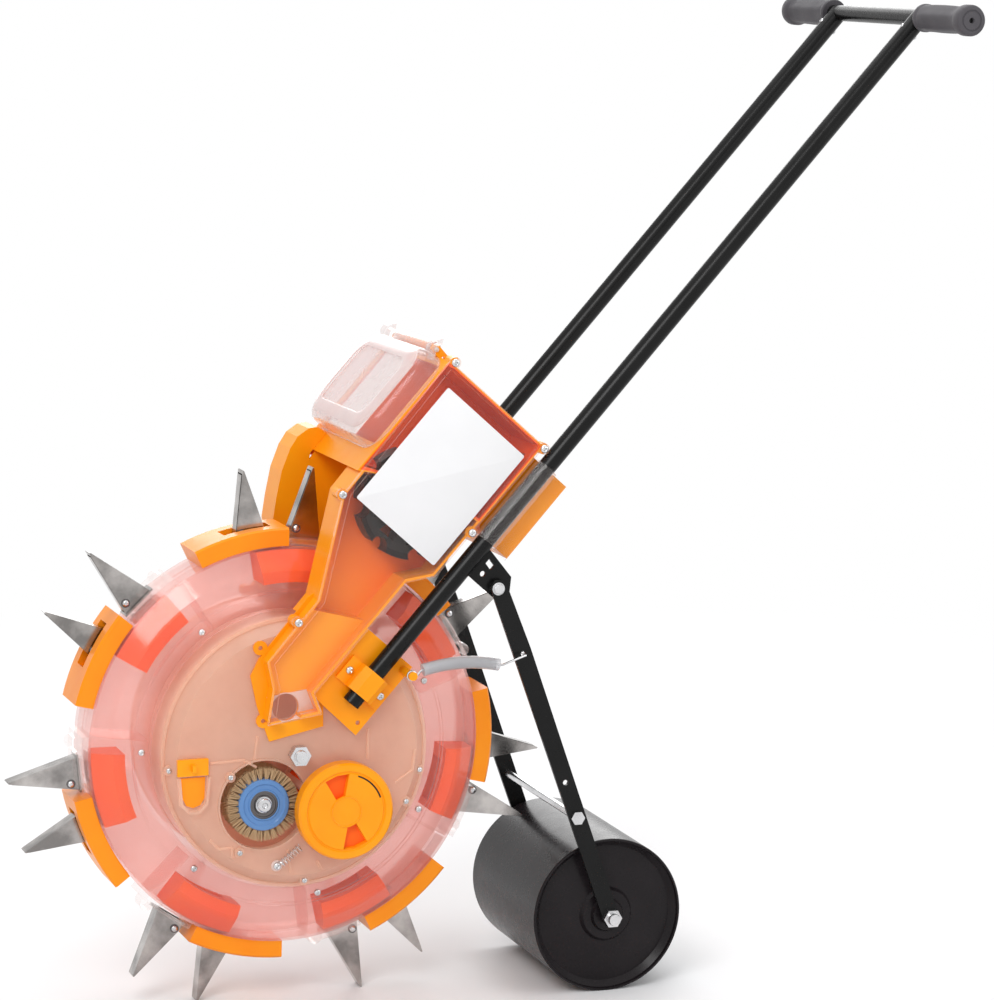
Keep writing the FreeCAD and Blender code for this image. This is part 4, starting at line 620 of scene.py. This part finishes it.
def make_rivets():
    """A rivet head on a washer at both ends of each hinge pin."""
    heads = bmesh.new()
    washers = bmesh.new()
    for set_angle in (FIRST_BEAK, FIRST_BEAK + STAGGER):
        for index in range(BEAKS):
            for side in (-1, 1):
                foot = wheel_point(set_angle + BEAK_PITCH * index, PIN_REACH, side * BEAK_FACE, PIN_ONWARD)
                lathe(washers, RIVET_WASHER, foot, SIDE * side, 18)
                lathe(heads, RIVET_HEAD, foot, SIDE * side, 18)
    make_piece("rivet_washers", washers, DARK_STEEL, "wheel")
    make_piece("rivet_heads", heads, STEEL, "wheel")


# Brush wheels: a blue hub, a dark bearing ring, and tufts of bristles

BRUSH_X, BRUSH_Z = -36.6, -49.5
BRUSH_LOW, BRUSH_HIGH = 42.0, 82.0
BRUSH_HUB = 26.5
BRUSH_REACH = 38.0
BEARING_RADIUS = 14.6
BORE_RADIUS = 5.06
TUFTS, ROWS, STRANDS = 28, 6, 9


def make_brush(side, name):
    """One brush wheel. Each strand leans out from its tuft's root, a little at random."""
    centre = axle_point(BRUSH_X, 0, BRUSH_Z)
    outward = SIDE * side
    hub = bmesh.new()
    lathe(hub, [(BEARING_RADIUS, BRUSH_LOW), (BRUSH_HUB, BRUSH_LOW), (BRUSH_HUB, BRUSH_HIGH - 0.5),
                (25.6, BRUSH_HIGH + 0.6), (22.0, BRUSH_HIGH + 1.0), (20.5, BRUSH_HIGH - 0.4),
                (16.8, BRUSH_HIGH - 0.6), (15.6, BRUSH_HIGH + 0.8), (BEARING_RADIUS, BRUSH_HIGH + 0.4)],
          centre, outward, 64, closed=True)
    make_piece(f"{name}_hub", hub, BLUE, name)
    ring = bmesh.new()
    lathe(ring, [(BORE_RADIUS, BRUSH_LOW + 1), (BEARING_RADIUS, BRUSH_LOW + 1), (BEARING_RADIUS, BRUSH_HIGH - 0.5),
                 (12.6, BRUSH_HIGH - 0.2), (12.2, BRUSH_HIGH - 1.2), (10.4, BRUSH_HIGH - 1.2),
                 (10.0, BRUSH_HIGH - 0.4), (BORE_RADIUS, BRUSH_HIGH - 2.6)], centre, outward, 48, closed=True)
    make_piece(f"{name}_bearing", ring, DARK_STEEL, name)
    bristles = bmesh.new()
    for row in range(ROWS):
        depth = BRUSH_LOW + 3.0 + (BRUSH_HIGH - BRUSH_LOW - 5.5) * row / (ROWS - 1)
        for tuft in range(TUFTS):
            bearing = TURN * (tuft + 0.5 * (row % 2)) / TUFTS
            for strand in range(STRANDS):
                lean = (strand - STRANDS // 2) * 0.017 + random.uniform(-0.012, 0.012)
                shift = random.uniform(-1.6, 1.6)
                reach = BRUSH_REACH - random.uniform(0.0, 0.9)
                root = centre + outward * (depth + shift * 0.4) * MM
                root += radial(bearing + lean * 0.75) * (BRUSH_HUB - 0.8) * MM
                tip = centre + outward * (depth + shift) * MM + radial(bearing + lean * 1.35) * reach * MM
                tube(bristles, [root, tip], 0.42, 4)
    make_piece(f"{name}_bristles", bristles, BRISTLE, name, [f"{name}_wheel"])


def make_brush_bolts():
    """A bolt in each brush wheel's bearing: shank, washer and head turned round, and a six-sided socket."""
    bm = bmesh.new()
    face = BRUSH_HIGH
    for side in (-1, 1):
        centre = axle_point(BRUSH_X, 0, BRUSH_Z)
        lathe(bm, [(0, 16.0), (4.9, 16.0), (4.9, face - 2.5), (9.4, face - 2.4), (9.4, face - 1.2),
                   (7.2, face - 1.0), (7.2, face + 2.4), (6.2, face + 3.6), (4.6, face + 3.9), (3.1, face + 3.9)],
              centre, SIDE * side, 36)
        lathe(bm, [(3.1, face + 3.9), (2.9, face + 0.8), (0, face + 0.4)], centre, SIDE * side, 6)
    make_piece("brush_socket_bolts", bm, STEEL, "frame", ["brush_bolts"], sharp=30.0)


# Threads at the axles' ends, and the bolts that the press arms swing on

THREAD_ROOT = 6.02
PRESS_X, PRESS_Z = 330.2, -189.32
PIVOT_X, PIVOT_Z = 203.0, 165.3


def threaded_end(bm, centre, axis, start, end, crest, root=THREAD_ROOT, pitch=1.5):
    """A threaded length with a chamfered end, its thread drawn as raised rings."""
    profile = [(0, start), (root, start)]
    at = start
    while at + pitch < end - 0.8:
        profile += [(root, at + 0.1 * pitch), (crest, at + 0.45 * pitch), (crest, at + 0.6 * pitch),
                    (root, at + 0.95 * pitch)]
        at += pitch
    profile += [(root, end - 0.8), (root - 0.9, end), (0, end)]
    lathe(bm, profile, centre, axis, 32)


def make_threads():
    """The axle's threaded ends, outside its nuts."""
    bm = bmesh.new()
    for side in (-1, 1):
        threaded_end(bm, AXLE, SIDE * side, 80.3, 93.9, 6.5)
    make_piece("axle_threads", bm, STEEL, "frame")


def make_pivot_bolts():
    """The bolt each press arm swings on: shank, spacer between bracket and arm, nut, washer and head."""
    bm = bmesh.new()
    shank = [(0, 94.6), (3.8, 94.6), (3.8, 111.0), (0, 111.0)]
    spacer = [(4.6, 103.85), (7.4, 103.85), (7.4, 106.35), (4.6, 106.35)]
    nut = [(0, 95.6), (5.2, 95.6), (5.8, 96.1), (5.8, 99.55), (0, 99.55)]
    washer = [(0, 110.65), (6.6, 110.65), (6.6, 111.4), (0, 111.4)]
    head = [(0, 111.4), (5.6, 111.4), (5.6, 114.2), (5.0, 114.8), (0, 114.8)]
    centre = axle_point(PIVOT_X, 0, PIVOT_Z)
    for side in (-1, 1):
        lathe(bm, shank, centre, SIDE * side, 24)
        lathe(bm, spacer, centre, SIDE * side, 28, closed=True)
        lathe(bm, nut, centre, SIDE * side, 6)
        lathe(bm, washer, centre, SIDE * side, 28)
        lathe(bm, head, centre, SIDE * side, 6)
    make_piece("pivot_bolts", bm, STEEL, "frame")


def make_roller_threads():
    """The threaded ends of the press roller's axle."""
    bm = bmesh.new()
    for side in (-1, 1):
        threaded_end(bm, axle_point(PRESS_X, 0, PRESS_Z), SIDE * side, 110.6, 122.4, 6.4)
    make_piece("roller_axle_threads", bm, STEEL, "press_frame")


# Tension springs: a close coil in a clear sleeve along a shallow bow, with an eye round the chute's lug at one end
# and a hook through the press arm at the other. LUG and HOOK are (x, z) from the axle.

BOW_X, BOW_Z = 162.4, -79.5
BOW_RADIUS = 172.7
BOW_START, BOW_SWEEP = 77.3, 27.2
SPRING_SIDE = 120.0
LUG = (107.8, 82.8)
HOOK = (230.4, 96.3)
COIL_TURNS, COIL_RADIUS, COIL_WIRE = 34, 4.3, 0.95
HOOK_WIRE = 1.2
SLEEVE_OUTER, SLEEVE_INNER = 6.5, 5.7


def bow_angle(share):
    """The angle of a place on the bow: 0 is the arm's end and 1 the chute's."""
    return math.radians(BOW_START + BOW_SWEEP * share)


def bow_point(share, side):
    """The middle of the bow at a place on it."""
    angle = bow_angle(share)
    return axle_point(BOW_X + BOW_RADIUS * math.cos(angle), side * SPRING_SIDE, BOW_Z + BOW_RADIUS * math.sin(angle))


def coil_points(side, per_turn=9):
    """The wire's middle line, which leaves a little of the bow free at each end."""
    points = []
    for i in range(COIL_TURNS * per_turn + 1):
        share = 0.03 + 0.94 * i / (COIL_TURNS * per_turn)
        turned = TURN * i / per_turn
        outward = radial(bow_angle(share)) * math.cos(turned) + SIDE * math.sin(turned)
        points.append(bow_point(share, side) + outward * COIL_RADIUS * MM)
    return points


def make_spring(side, name):
    """One spring. Its pieces stretch between chute and arm, and the near sleeve stands for the CAD's springs."""
    coil = bmesh.new()
    tube(coil, coil_points(side), COIL_WIRE, 6)
    lug = axle_point(LUG[0], side * SPRING_SIDE, LUG[1])
    eye = [lug + radial(math.radians(30 + 22 * i)) * 4.6 * MM for i in range(15)]
    tube(coil, eye + [bow_point(1.03, side), bow_point(0.97, side)], HOOK_WIRE, 8)
    hook = axle_point(HOOK[0], side * SPRING_SIDE, HOOK[1])
    bend = [hook + Vector((x, -side * inward, 0)) * MM for x, inward in ((-2.0, 0), (-0.6, 0.6), (0, 2.0), (0, 15.5))]
    tube(coil, [bow_point(0.03, side), bow_point(-0.05, side)] + bend, HOOK_WIRE, 8)
    wire = make_piece(f"{name}_coil", coil, STEEL)
    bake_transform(wire)
    sleeve = bmesh.new()
    steps = 24
    rings = []
    for reach, order in ((SLEEVE_OUTER, range(steps + 1)), (SLEEVE_INNER, range(steps, -1, -1))):
        for i in order:
            middle = bow_point(i / steps, side)
            rings.append(circle(sleeve, middle, radial(bow_angle(i / steps)), SIDE, reach, 24))
    join_all(sleeve, rings, closed=True)
    skin = make_piece(f"{name}_sleeve", sleeve, SLEEVE, None, ["press_springs"] if side < 0 else ())
    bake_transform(skin)


# Grips: soft-edged six-sided rubber sleeves with a lip at each end and a hole in the outer end

BAR_ALONG = 995.0
GRIP_OUTER = 223.0
GRIP_LENGTH = 110.0
FLAT_DEPTH = 1.3
ROD_SIDE = 101.7


def make_grips():
    """The two grips, turned round the bar."""
    bm = bmesh.new()

    def six_sided(radius, height, angle):
        """The handhold is six-sided between its lips, and round elsewhere."""
        along = (height - (GRIP_OUTER - GRIP_LENGTH)) / GRIP_LENGTH
        inside = max(0.0, min(1.0, (along - 0.09) / 0.05)) * max(0.0, min(1.0, (0.86 - along) / 0.05))
        if radius < 10:
            inside = 0.0
        return radius - inside * FLAT_DEPTH * (0.5 - 0.5 * math.cos(6 * angle)) ** 0.7

    for side in (-1, 1):
        outer = GRIP_OUTER
        inner = GRIP_OUTER - GRIP_LENGTH
        profile = [(8.6, inner + 0.2), (13.6, inner), (14.6, inner + 1.4), (14.6, inner + 5.0), (13.6, inner + 6.6),
                   (13.9, inner + 9.5)]
        for step in range(11):
            share = step / 10
            profile.append((14.2 + 0.7 * math.sin(math.pi * share), inner + 12 + 76 * share))
        profile += [(14.4, outer - 18), (14.3, outer - 16), (15.9, outer - 13.5), (15.9, outer - 3.0),
                    (15.0, outer - 1.0), (13.4, outer), (11.0, outer), (10.6, outer - 0.8), (9.6, outer - 0.8),
                    (9.2, outer), (3.2, outer), (2.6, outer - 0.8), (2.6, outer - 9.0), (0, outer - 9.0)]
        lathe(bm, profile, rod_point(BAR_ALONG, 0, 0), SIDE * side, 48, swell=six_sided)
    make_piece("rubber_grips", bm, RUBBER, "frame", ["handle_grips"])


def make_rod_screws():
    """A screw in the back and the front of each rod's top."""
    bm = bmesh.new()
    for side in (-1, 1):
        for facing in (-1, 1):
            domed_screw(bm, rod_point(BAR_ALONG - 19, side * ROD_SIDE, facing * 9.4), FORWARD * facing, *ROD_SCREW)
    make_piece("rod_screws", bm, STEEL, "frame")


# The clear lid: a crowned box with rounded corners, a thick rim round its window, and a barrel at the hinge

LID_LOW, LID_HIGH = 279.0, 397.0
LID_HALF = 98.0
LID_BASE = 153.4
LID_CORNER = 30.0
HINGE_ALONG, HINGE_FORWARD = 403.0, 160.0

# The lid's levels as (rise, inset): its outside from the base up, its inside from the top down, and the rim's section
LID_OUTSIDE = [(0.0, -0.6), (1.6, -0.6), (2.2, 0.2), (14.0, 0.8), (18.5, 2.0), (21.8, 4.6), (24.0, 8.4), (25.4, 13.0),
               (26.4, 18.0), (26.8, 21.0), (26.6, 22.6), (25.6, 23.6), (25.4, 26.0), (25.6, 40.0)]
LID_INSIDE = [(23.8, 40.0), (23.6, 24.0), (23.0, 16.0), (21.6, 11.0), (19.4, 7.6), (16.8, 5.0), (12.0, 3.2),
              (0.0, 2.4)]
LID_RIM = [(22.9, 7.4), (24.6, 9.6), (26.0, 13.2), (27.0, 18.0), (27.4, 20.8), (27.2, 22.4), (26.2, 22.6),
           (26.3, 20.6), (26.1, 18.0), (25.1, 13.4), (23.7, 10.0), (22.2, 7.9)]


def lid_ring(bm, rise, inset):
    """One level of the lid: a rectangle whose rounded corners tighten inwards, in the rods' frame."""
    ring = []
    corner = LID_CORNER - 0.55 * inset
    middle = (LID_LOW + LID_HIGH) / 2
    half_along = (LID_HIGH - LID_LOW) / 2 - inset
    half_side = LID_HALF - inset
    for quarter, (across, up) in enumerate(((1, 1), (-1, 1), (-1, -1), (1, -1))):
        for step in range(8):
            angle = math.radians(90 * quarter + 90 * step / 7)
            ring.append(bm.verts.new(rod_point(
                middle + across * (half_along - corner) + corner * math.cos(angle),
                up * (half_side - corner) + corner * math.sin(angle), LID_BASE + rise)))
    return ring


def hinge_point(reach, degrees, side):
    """A point round the lid's hinge, in the rods' frame."""
    angle = math.radians(degrees)
    return rod_point(HINGE_ALONG + reach * math.cos(angle), side, HINGE_FORWARD + reach * math.sin(angle))


def make_lid():
    """The lid's shell with its hinge tube, knuckles, arms and lugs, the rim, and the hopper's barrel between them."""
    shell = bmesh.new()
    outside = [lid_ring(shell, rise, inset) for rise, inset in LID_OUTSIDE]
    inside = [lid_ring(shell, rise, inset) for rise, inset in LID_INSIDE]
    join_all(shell, outside)
    shell.faces.new(outside[-1])
    join_all(shell, inside)
    shell.faces.new(inside[0])
    join_rings(shell, inside[-1], outside[0])
    hinge = rod_point(HINGE_ALONG, 0, HINGE_FORWARD)
    lathe(shell, [(6.4, -58.0), (7.4, -58.8), (7.8, -57.0), (7.8, 57.0), (7.4, 58.8), (6.4, 58.0)], hinge, SIDE, 28,
          closed=True)
    for side in (-1, 1):
        lathe(shell, [(2.6, 48.4), (5.4, 48.4), (5.8, 49.2), (5.8, 56.8), (5.4, 57.6), (2.6, 57.6)], hinge,
              SIDE * side, 28, closed=True)
        arm = [(LID_HIGH - 1.6, 154.5), (HINGE_ALONG - 4.6, 157.4), (HINGE_ALONG - 3.2, 164.4),
               (LID_HIGH - 1.8, 165.4)]
        prism(shell, [rod_point(along, side * 50.0, forward) for along, forward in arm], SIDE * side * 6.0 * MM)
        beside = side * 70.0
        lug = [rod_point(LID_HIGH - 8.0, beside, 163.0)]
        lug += [hinge_point(13.0 - 3.0 * max(0, 4 - step) / 4, 150 - 9.5 * step, beside) for step in range(13)]
        lug += [hinge_point(7.0, 40 + 18 * step, beside) for step in range(7)]
        lug.append(rod_point(LID_HIGH - 6.0, beside, 160.0))
        prism(shell, lug, SIDE * side * 15.0 * MM)
    make_piece("lid_shell", shell, LID_CLEAR, "lid", ["hopper_lid"])
    rim = bmesh.new()
    join_all(rim, [lid_ring(rim, rise, inset) for rise, inset in LID_RIM], closed=True)
    make_piece("lid_rim", rim, RIM_CLEAR, "lid")
    barrel = bmesh.new()
    lathe(barrel, [(2.56, -47.6), (4.6, -47.6), (5.2, -46.8), (5.2, 46.8), (4.6, 47.6), (2.56, 47.6)], hinge, SIDE,
          28, closed=True)
    make_piece("hinge_barrel", barrel, SEAT_ORANGE, "frame")


# The covers' ribs, the clean-out tongue, the small brush spring and the spouts' frames, as (x, z) from the axle

COVER_RIBS = [[(-92.0, -3.0), (-57.5, -2.0), (-44.5, -10.0)], [(-93.0, -82.0), (-84.0, -92.5), (-70.0, -91.5)],
              [(-70.0, -91.5), (-69.7, -102.0)], [(74.0, 22.0), (73.5, -9.0)], [(121.5, -24.0), (103.0, -36.0)],
              [(121.5, -24.0), (124.0, -3.0)], [(-43.0, 22.0), (-46.0, -2.0)], [(-12.0, -98.0), (-8.0, -122.0)],
              [(20.0, -112.0), (24.0, -121.0)]]
RIB_SECTION = [(-1.3, 0), (-1.1, 1.5), (-0.5, 2.0), (0.5, 2.0), (1.1, 1.5), (1.3, 0)]
TONGUE = [(-123.0, -16.4), (-97.6, -16.4), (-98.6, -38.0), (-103.0, -45.0), (-110.5, -47.6), (-117.4, -45.0),
          (-121.4, -37.0)]
SPOUT = [(-19.6, 11.2), (30.0, 18.0), (38.0, -8.0), (-14.6, -17.4)]
SPOUT_X, SPOUT_Z = -14.8, 50.9
OUTLET_RADIUS = 14.0


def make_cover_ribs():
    """Raised ribs on each cover: bevelled bars along the runs, and a ring near the cover's edge."""
    bm = bmesh.new()
    for side in (-1, 1):
        for run in COVER_RIBS:
            for (x0, z0), (x1, z1) in zip(run, run[1:]):
                reach = Vector((x1 - x0, 0.0, z1 - z0))
                across = Vector((-reach.z, 0.0, reach.x)).normalized() * MM
                start = axle_point(x0, side * (COVER_FACE - 0.2), z0)
                lift = SIDE * side * MM
                prism(bm, [start + across * aside + lift * rise for aside, rise in RIB_SECTION], reach * MM)
        lathe(bm, [(136.6, COVER_FACE - 13.6), (136.9, COVER_FACE - 12.2), (138.0, COVER_FACE - 11.8),
                   (140.2, COVER_FACE - 12.2), (140.6, COVER_FACE - 13.6), (140.6, COVER_FACE - 18.0),
                   (139.1, COVER_FACE - 18.0), (139.1, COVER_FACE - 15.8)], AXLE, SIDE * side, 96, closed=True)
    make_piece("cover_ribs", bm, FROSTED, "frame")


def make_cleanout_tongue():
    """The orange tongue that shows in the guard below the clean-out plug."""
    bm = bmesh.new()
    prism(bm, [axle_point(x, -COVER_FACE - 0.1, z) for x, z in TONGUE], SIDE * -0.9 * MM)
    make_piece("cleanout_tongue", bm, SEAT_ORANGE, "frame")


def make_brush_spring():
    """A small open coil spring and its screw on the near cover."""
    bm = bmesh.new()
    low = axle_point(-20.0, -COVER_FACE - 5.2, -111.5)
    run = axle_point(1.0, -COVER_FACE - 5.2, -95.0) - low
    _, first, second = across_axis(run)
    points = []
    turns, per_turn = 7, 10
    for i in range(turns * per_turn + 1):
        angle = TURN * i / per_turn
        points.append(low + run * (i / (turns * per_turn))
                      + (first * math.cos(angle) + second * math.sin(angle)) * 4.0 * MM)
    tube(bm, points, 0.6, 6)
    domed_screw(bm, axle_point(-23.0, -COVER_FACE - 1.5, -114.0), -SIDE, *SPRING_SCREW)
    make_piece("brush_spring", bm, STEEL, "frame")
    foot = bmesh.new()
    lathe(foot, [(0, 0), (6.0, 0), (5.4, 1.6), (0, 1.6)], axle_point(-23.0, -COVER_FACE + 0.1, -114.0), -SIDE, 20)
    make_piece("brush_spring_foot", foot, PALE, "frame")


def make_spouts():
    """The pale frame round each chute's outlet, with the outlet left open."""
    bm = bmesh.new()

    def reach_at(radius, height, angle):
        """The inner edge is round and the outer one follows the spout's four sides."""
        if radius == OUTLET_RADIUS:
            return radius
        _, first, second = across_axis(axis)
        ray = first * math.cos(angle) + second * math.sin(angle)
        best = 60.0
        for (x0, z0), (x1, z1) in zip(SPOUT, SPOUT[1:] + SPOUT[:1]):
            normal = (z1 - z0, x0 - x1)
            drop = ray.x * normal[0] + ray.z * normal[1]
            offset = x0 * normal[0] + z0 * normal[1]
            if drop * offset > 0:
                best = min(best, offset / drop)
        return max(best, OUTLET_RADIUS + 0.8)

    for side in (-1, 1):
        axis = SIDE * side
        lathe(bm, [(OUTLET_RADIUS, 82.9), (1.0, 82.9), (1.0, 85.0), (OUTLET_RADIUS, 85.0)],
              axle_point(SPOUT_X, 0, SPOUT_Z), axis, 72, closed=True, swell=reach_at)
    make_piece("spout_frames", bm, PALE, "frame")


# The caps' details: recess floors as (across, up), given redder sheets of painted shade; a slot near the rim, a black
# sheet of painted shade; and a ring round the boss

CAP_X, CAP_Z = 43.73, -57.2
CAP_FACE = 104.0
CAP_TURN = 72.0
RECESS = [(14.4, 6.4), (37.6, 9.3), (32.7, 20.7), (24.0, 30.4), (8.4, 13.0)]


def cap_point(side, reach, angle, y):
    """A point on a cap, at a reach from its middle along a direction in degrees."""
    turned = math.radians(angle)
    return axle_point(CAP_X + reach * math.cos(turned), side * y, CAP_Z + reach * math.sin(turned))


def make_cap_details(side, name):
    """A cap's black sheet of painted shade near the rim, the redder sheets of painted shade on the floors of its two
    recesses, and the ring round its boss.
    """
    # Painted shade: a black sheet on the cap's face, standing for the dark hollow of the slot
    slot_shade = bmesh.new()
    inner = [cap_point(side, 37.4, 19 + 52 * step / 12, CAP_FACE - 0.3) for step in range(13)]
    outer = [cap_point(side, 39.0, 71 - 52 * step / 12, CAP_FACE - 0.3) for step in range(13)]
    prism(slot_shade, inner + outer, SIDE * side * 0.45 * MM)
    make_piece(f"{name}_slot", slot_shade, BLACK_PLASTIC, name)
    # Painted shade: redder sheets laid on the floors of the recesses
    floors = bmesh.new()
    for turned in (1, -1):
        corners = []
        for across, up in RECESS:
            reach = math.hypot(across, up)
            bearing = math.degrees(math.atan2(turned * up, turned * across)) + CAP_TURN
            corners.append(cap_point(side, reach, bearing, CAP_FACE - 6.1))
        prism(floors, corners, SIDE * side * 0.3 * MM)
    make_piece(f"{name}_recess_floors", floors, DEEP_ORANGE, name)
    boss = bmesh.new()
    lathe(boss, [(14.6, CAP_FACE - 0.2), (15.0, CAP_FACE + 0.7), (15.4, CAP_FACE + 0.9), (16.0, CAP_FACE + 0.7),
                 (16.4, CAP_FACE - 0.2)], cap_point(side, 0, 0, 0), SIDE * side, 48, closed=True)
    make_piece(f"{name}_boss_ring", boss, ORANGE, name)


# The stage: a white floor that runs out to a white background, the lamps as (name, place, size, watts), and the
# camera of the photo. Lengths are in metres, the lens and its sensor in mm, and the turns in radians.

FLOOR_HALF = 9.0
GLOW_RANGE = (0.7, 2.2)
LAMP_TARGET = (0.05, 0.0, 0.4)
LAMPS = [("key", (-1.8, -2.4, 2.6), 1.6, 62), ("fill", (2.6, -2.2, 1.6), 2.2, 26), ("top", (0.2, 0.6, 3.2), 2.4, 44),
         ("back", (0.8, 2.8, 1.4), 1.8, 22)]
CAMERA_FROM_AXLE = (-1.03399, -3.6494, 0.83019)
CAMERA_YAW, CAMERA_PITCH, CAMERA_ROLL = 0.3357, -0.1518, 0.0071
CAMERA_LENS, CAMERA_SENSOR = 134.7, 36.0


def camera_sees(tree):
    """1 where the camera, a clear wall or a shiny face looks, 0 for the light that falls on the object."""
    path = tree.nodes.new("ShaderNodeLightPath")
    seen = maths(tree, "MAXIMUM", path.outputs["Is Camera Ray"], path.outputs["Is Transmission Ray"])
    return maths(tree, "MAXIMUM", seen, path.outputs["Is Glossy Ray"])


def make_stage():
    """The floor takes the object's shadow, and glows white away from it."""
    material, tree, shader, place = new_material("stage_white")
    shader.inputs["Base Color"].default_value = (0.86, 0.86, 0.87, 1.0)
    shader.inputs["Roughness"].default_value = 0.8
    away = tree.nodes.new("ShaderNodeVectorMath")
    away.operation = "LENGTH"
    tree.links.new(place, away.inputs[0])
    outside = spread(tree, away.outputs["Value"], 0.0, 1.0, GLOW_RANGE)
    glow = tree.nodes.new("ShaderNodeEmission")
    glow.inputs["Color"].default_value = (1.0, 1.0, 1.0, 1.0)
    share = maths(tree, "MULTIPLY", outside, camera_sees(tree))
    white = mix_shaders(tree, share, shader.outputs["BSDF"], glow.outputs["Emission"])
    tree.links.new(white, tree.nodes["Material Output"].inputs["Surface"])
    half = FLOOR_HALF
    mesh = bpy.data.meshes.new("floor")
    mesh.from_pydata([(-half, -half, 0), (half, -half, 0), (half, half, 0), (-half, half, 0)], [], [(0, 1, 2, 3)])
    floor = bpy.data.objects.new("floor", mesh)
    bpy.context.scene.collection.objects.link(floor)
    mesh.materials.append(material)


def make_world():
    """The sky: white where it is looked at, and dimmer as a light."""
    world = bpy.data.worlds.new("studio")
    bpy.context.scene.world = world
    world.use_nodes = True
    tree = world.node_tree
    background = tree.nodes["Background"]
    background.inputs["Color"].default_value = (1.0, 1.0, 1.0, 1.0)
    tree.links.new(spread(tree, camera_sees(tree), 0.5, 1.0), background.inputs["Strength"])


def make_lamps():
    """Four square lamps that face the machine."""
    for name, place, size, power in LAMPS:
        light = bpy.data.lights.new(name, "AREA")
        light.size = size
        light.energy = power
        lamp = bpy.data.objects.new(name, light)
        lamp.location = place
        lamp.rotation_mode = "QUATERNION"
        lamp.rotation_quaternion = (Vector(LAMP_TARGET) - Vector(place)).to_track_quat("-Z", "Y")
        bpy.context.scene.collection.objects.link(lamp)


def make_camera():
    """The photo's viewpoint: a long lens, a little above the hopper, turned towards the machine's front left."""
    yaw, pitch, roll = CAMERA_YAW, CAMERA_PITCH, CAMERA_ROLL
    data = bpy.data.cameras.new("camera")
    data.sensor_fit = "VERTICAL"
    data.sensor_height = CAMERA_SENSOR
    data.lens = CAMERA_LENS
    data.clip_end = 60.0
    camera = bpy.data.objects.new("camera", data)
    forward = Vector((math.sin(yaw) * math.cos(pitch), math.cos(yaw) * math.cos(pitch), math.sin(pitch)))
    right = Vector((math.cos(yaw), -math.sin(yaw), 0.0))
    up = right.cross(forward)
    turned_right = right * math.cos(roll) + up * math.sin(roll)
    turned_up = up * math.cos(roll) - right * math.sin(roll)
    axes = Matrix((turned_right, turned_up, -forward)).transposed()
    camera.matrix_world = Matrix.Translation(AXLE + Vector(CAMERA_FROM_AXLE)) @ axes.to_4x4()
    bpy.context.scene.collection.objects.link(camera)
    bpy.context.scene.camera = camera


make_label_plate()
make_case_screws()
make_cover_screws()
make_drum_screws()
make_rivets()
make_brush(-1, "near_brush")
make_brush(1, "far_brush")
make_brush_bolts()
make_threads()
make_roller_threads()
make_pivot_bolts()
make_spring(-1, "near_spring")
make_spring(1, "far_spring")
make_grips()
make_rod_screws()
make_lid()
make_cover_ribs()
make_cleanout_tongue()
make_brush_spring()
make_spouts()
make_cap_details(-1, "near_cap")
make_cap_details(1, "far_cap")
make_stage()
make_world()
make_lamps()
make_camera()
bpy.context.scene.view_settings.view_transform = "Standard"
bpy.context.scene.cycles.transparent_max_bounces = 32
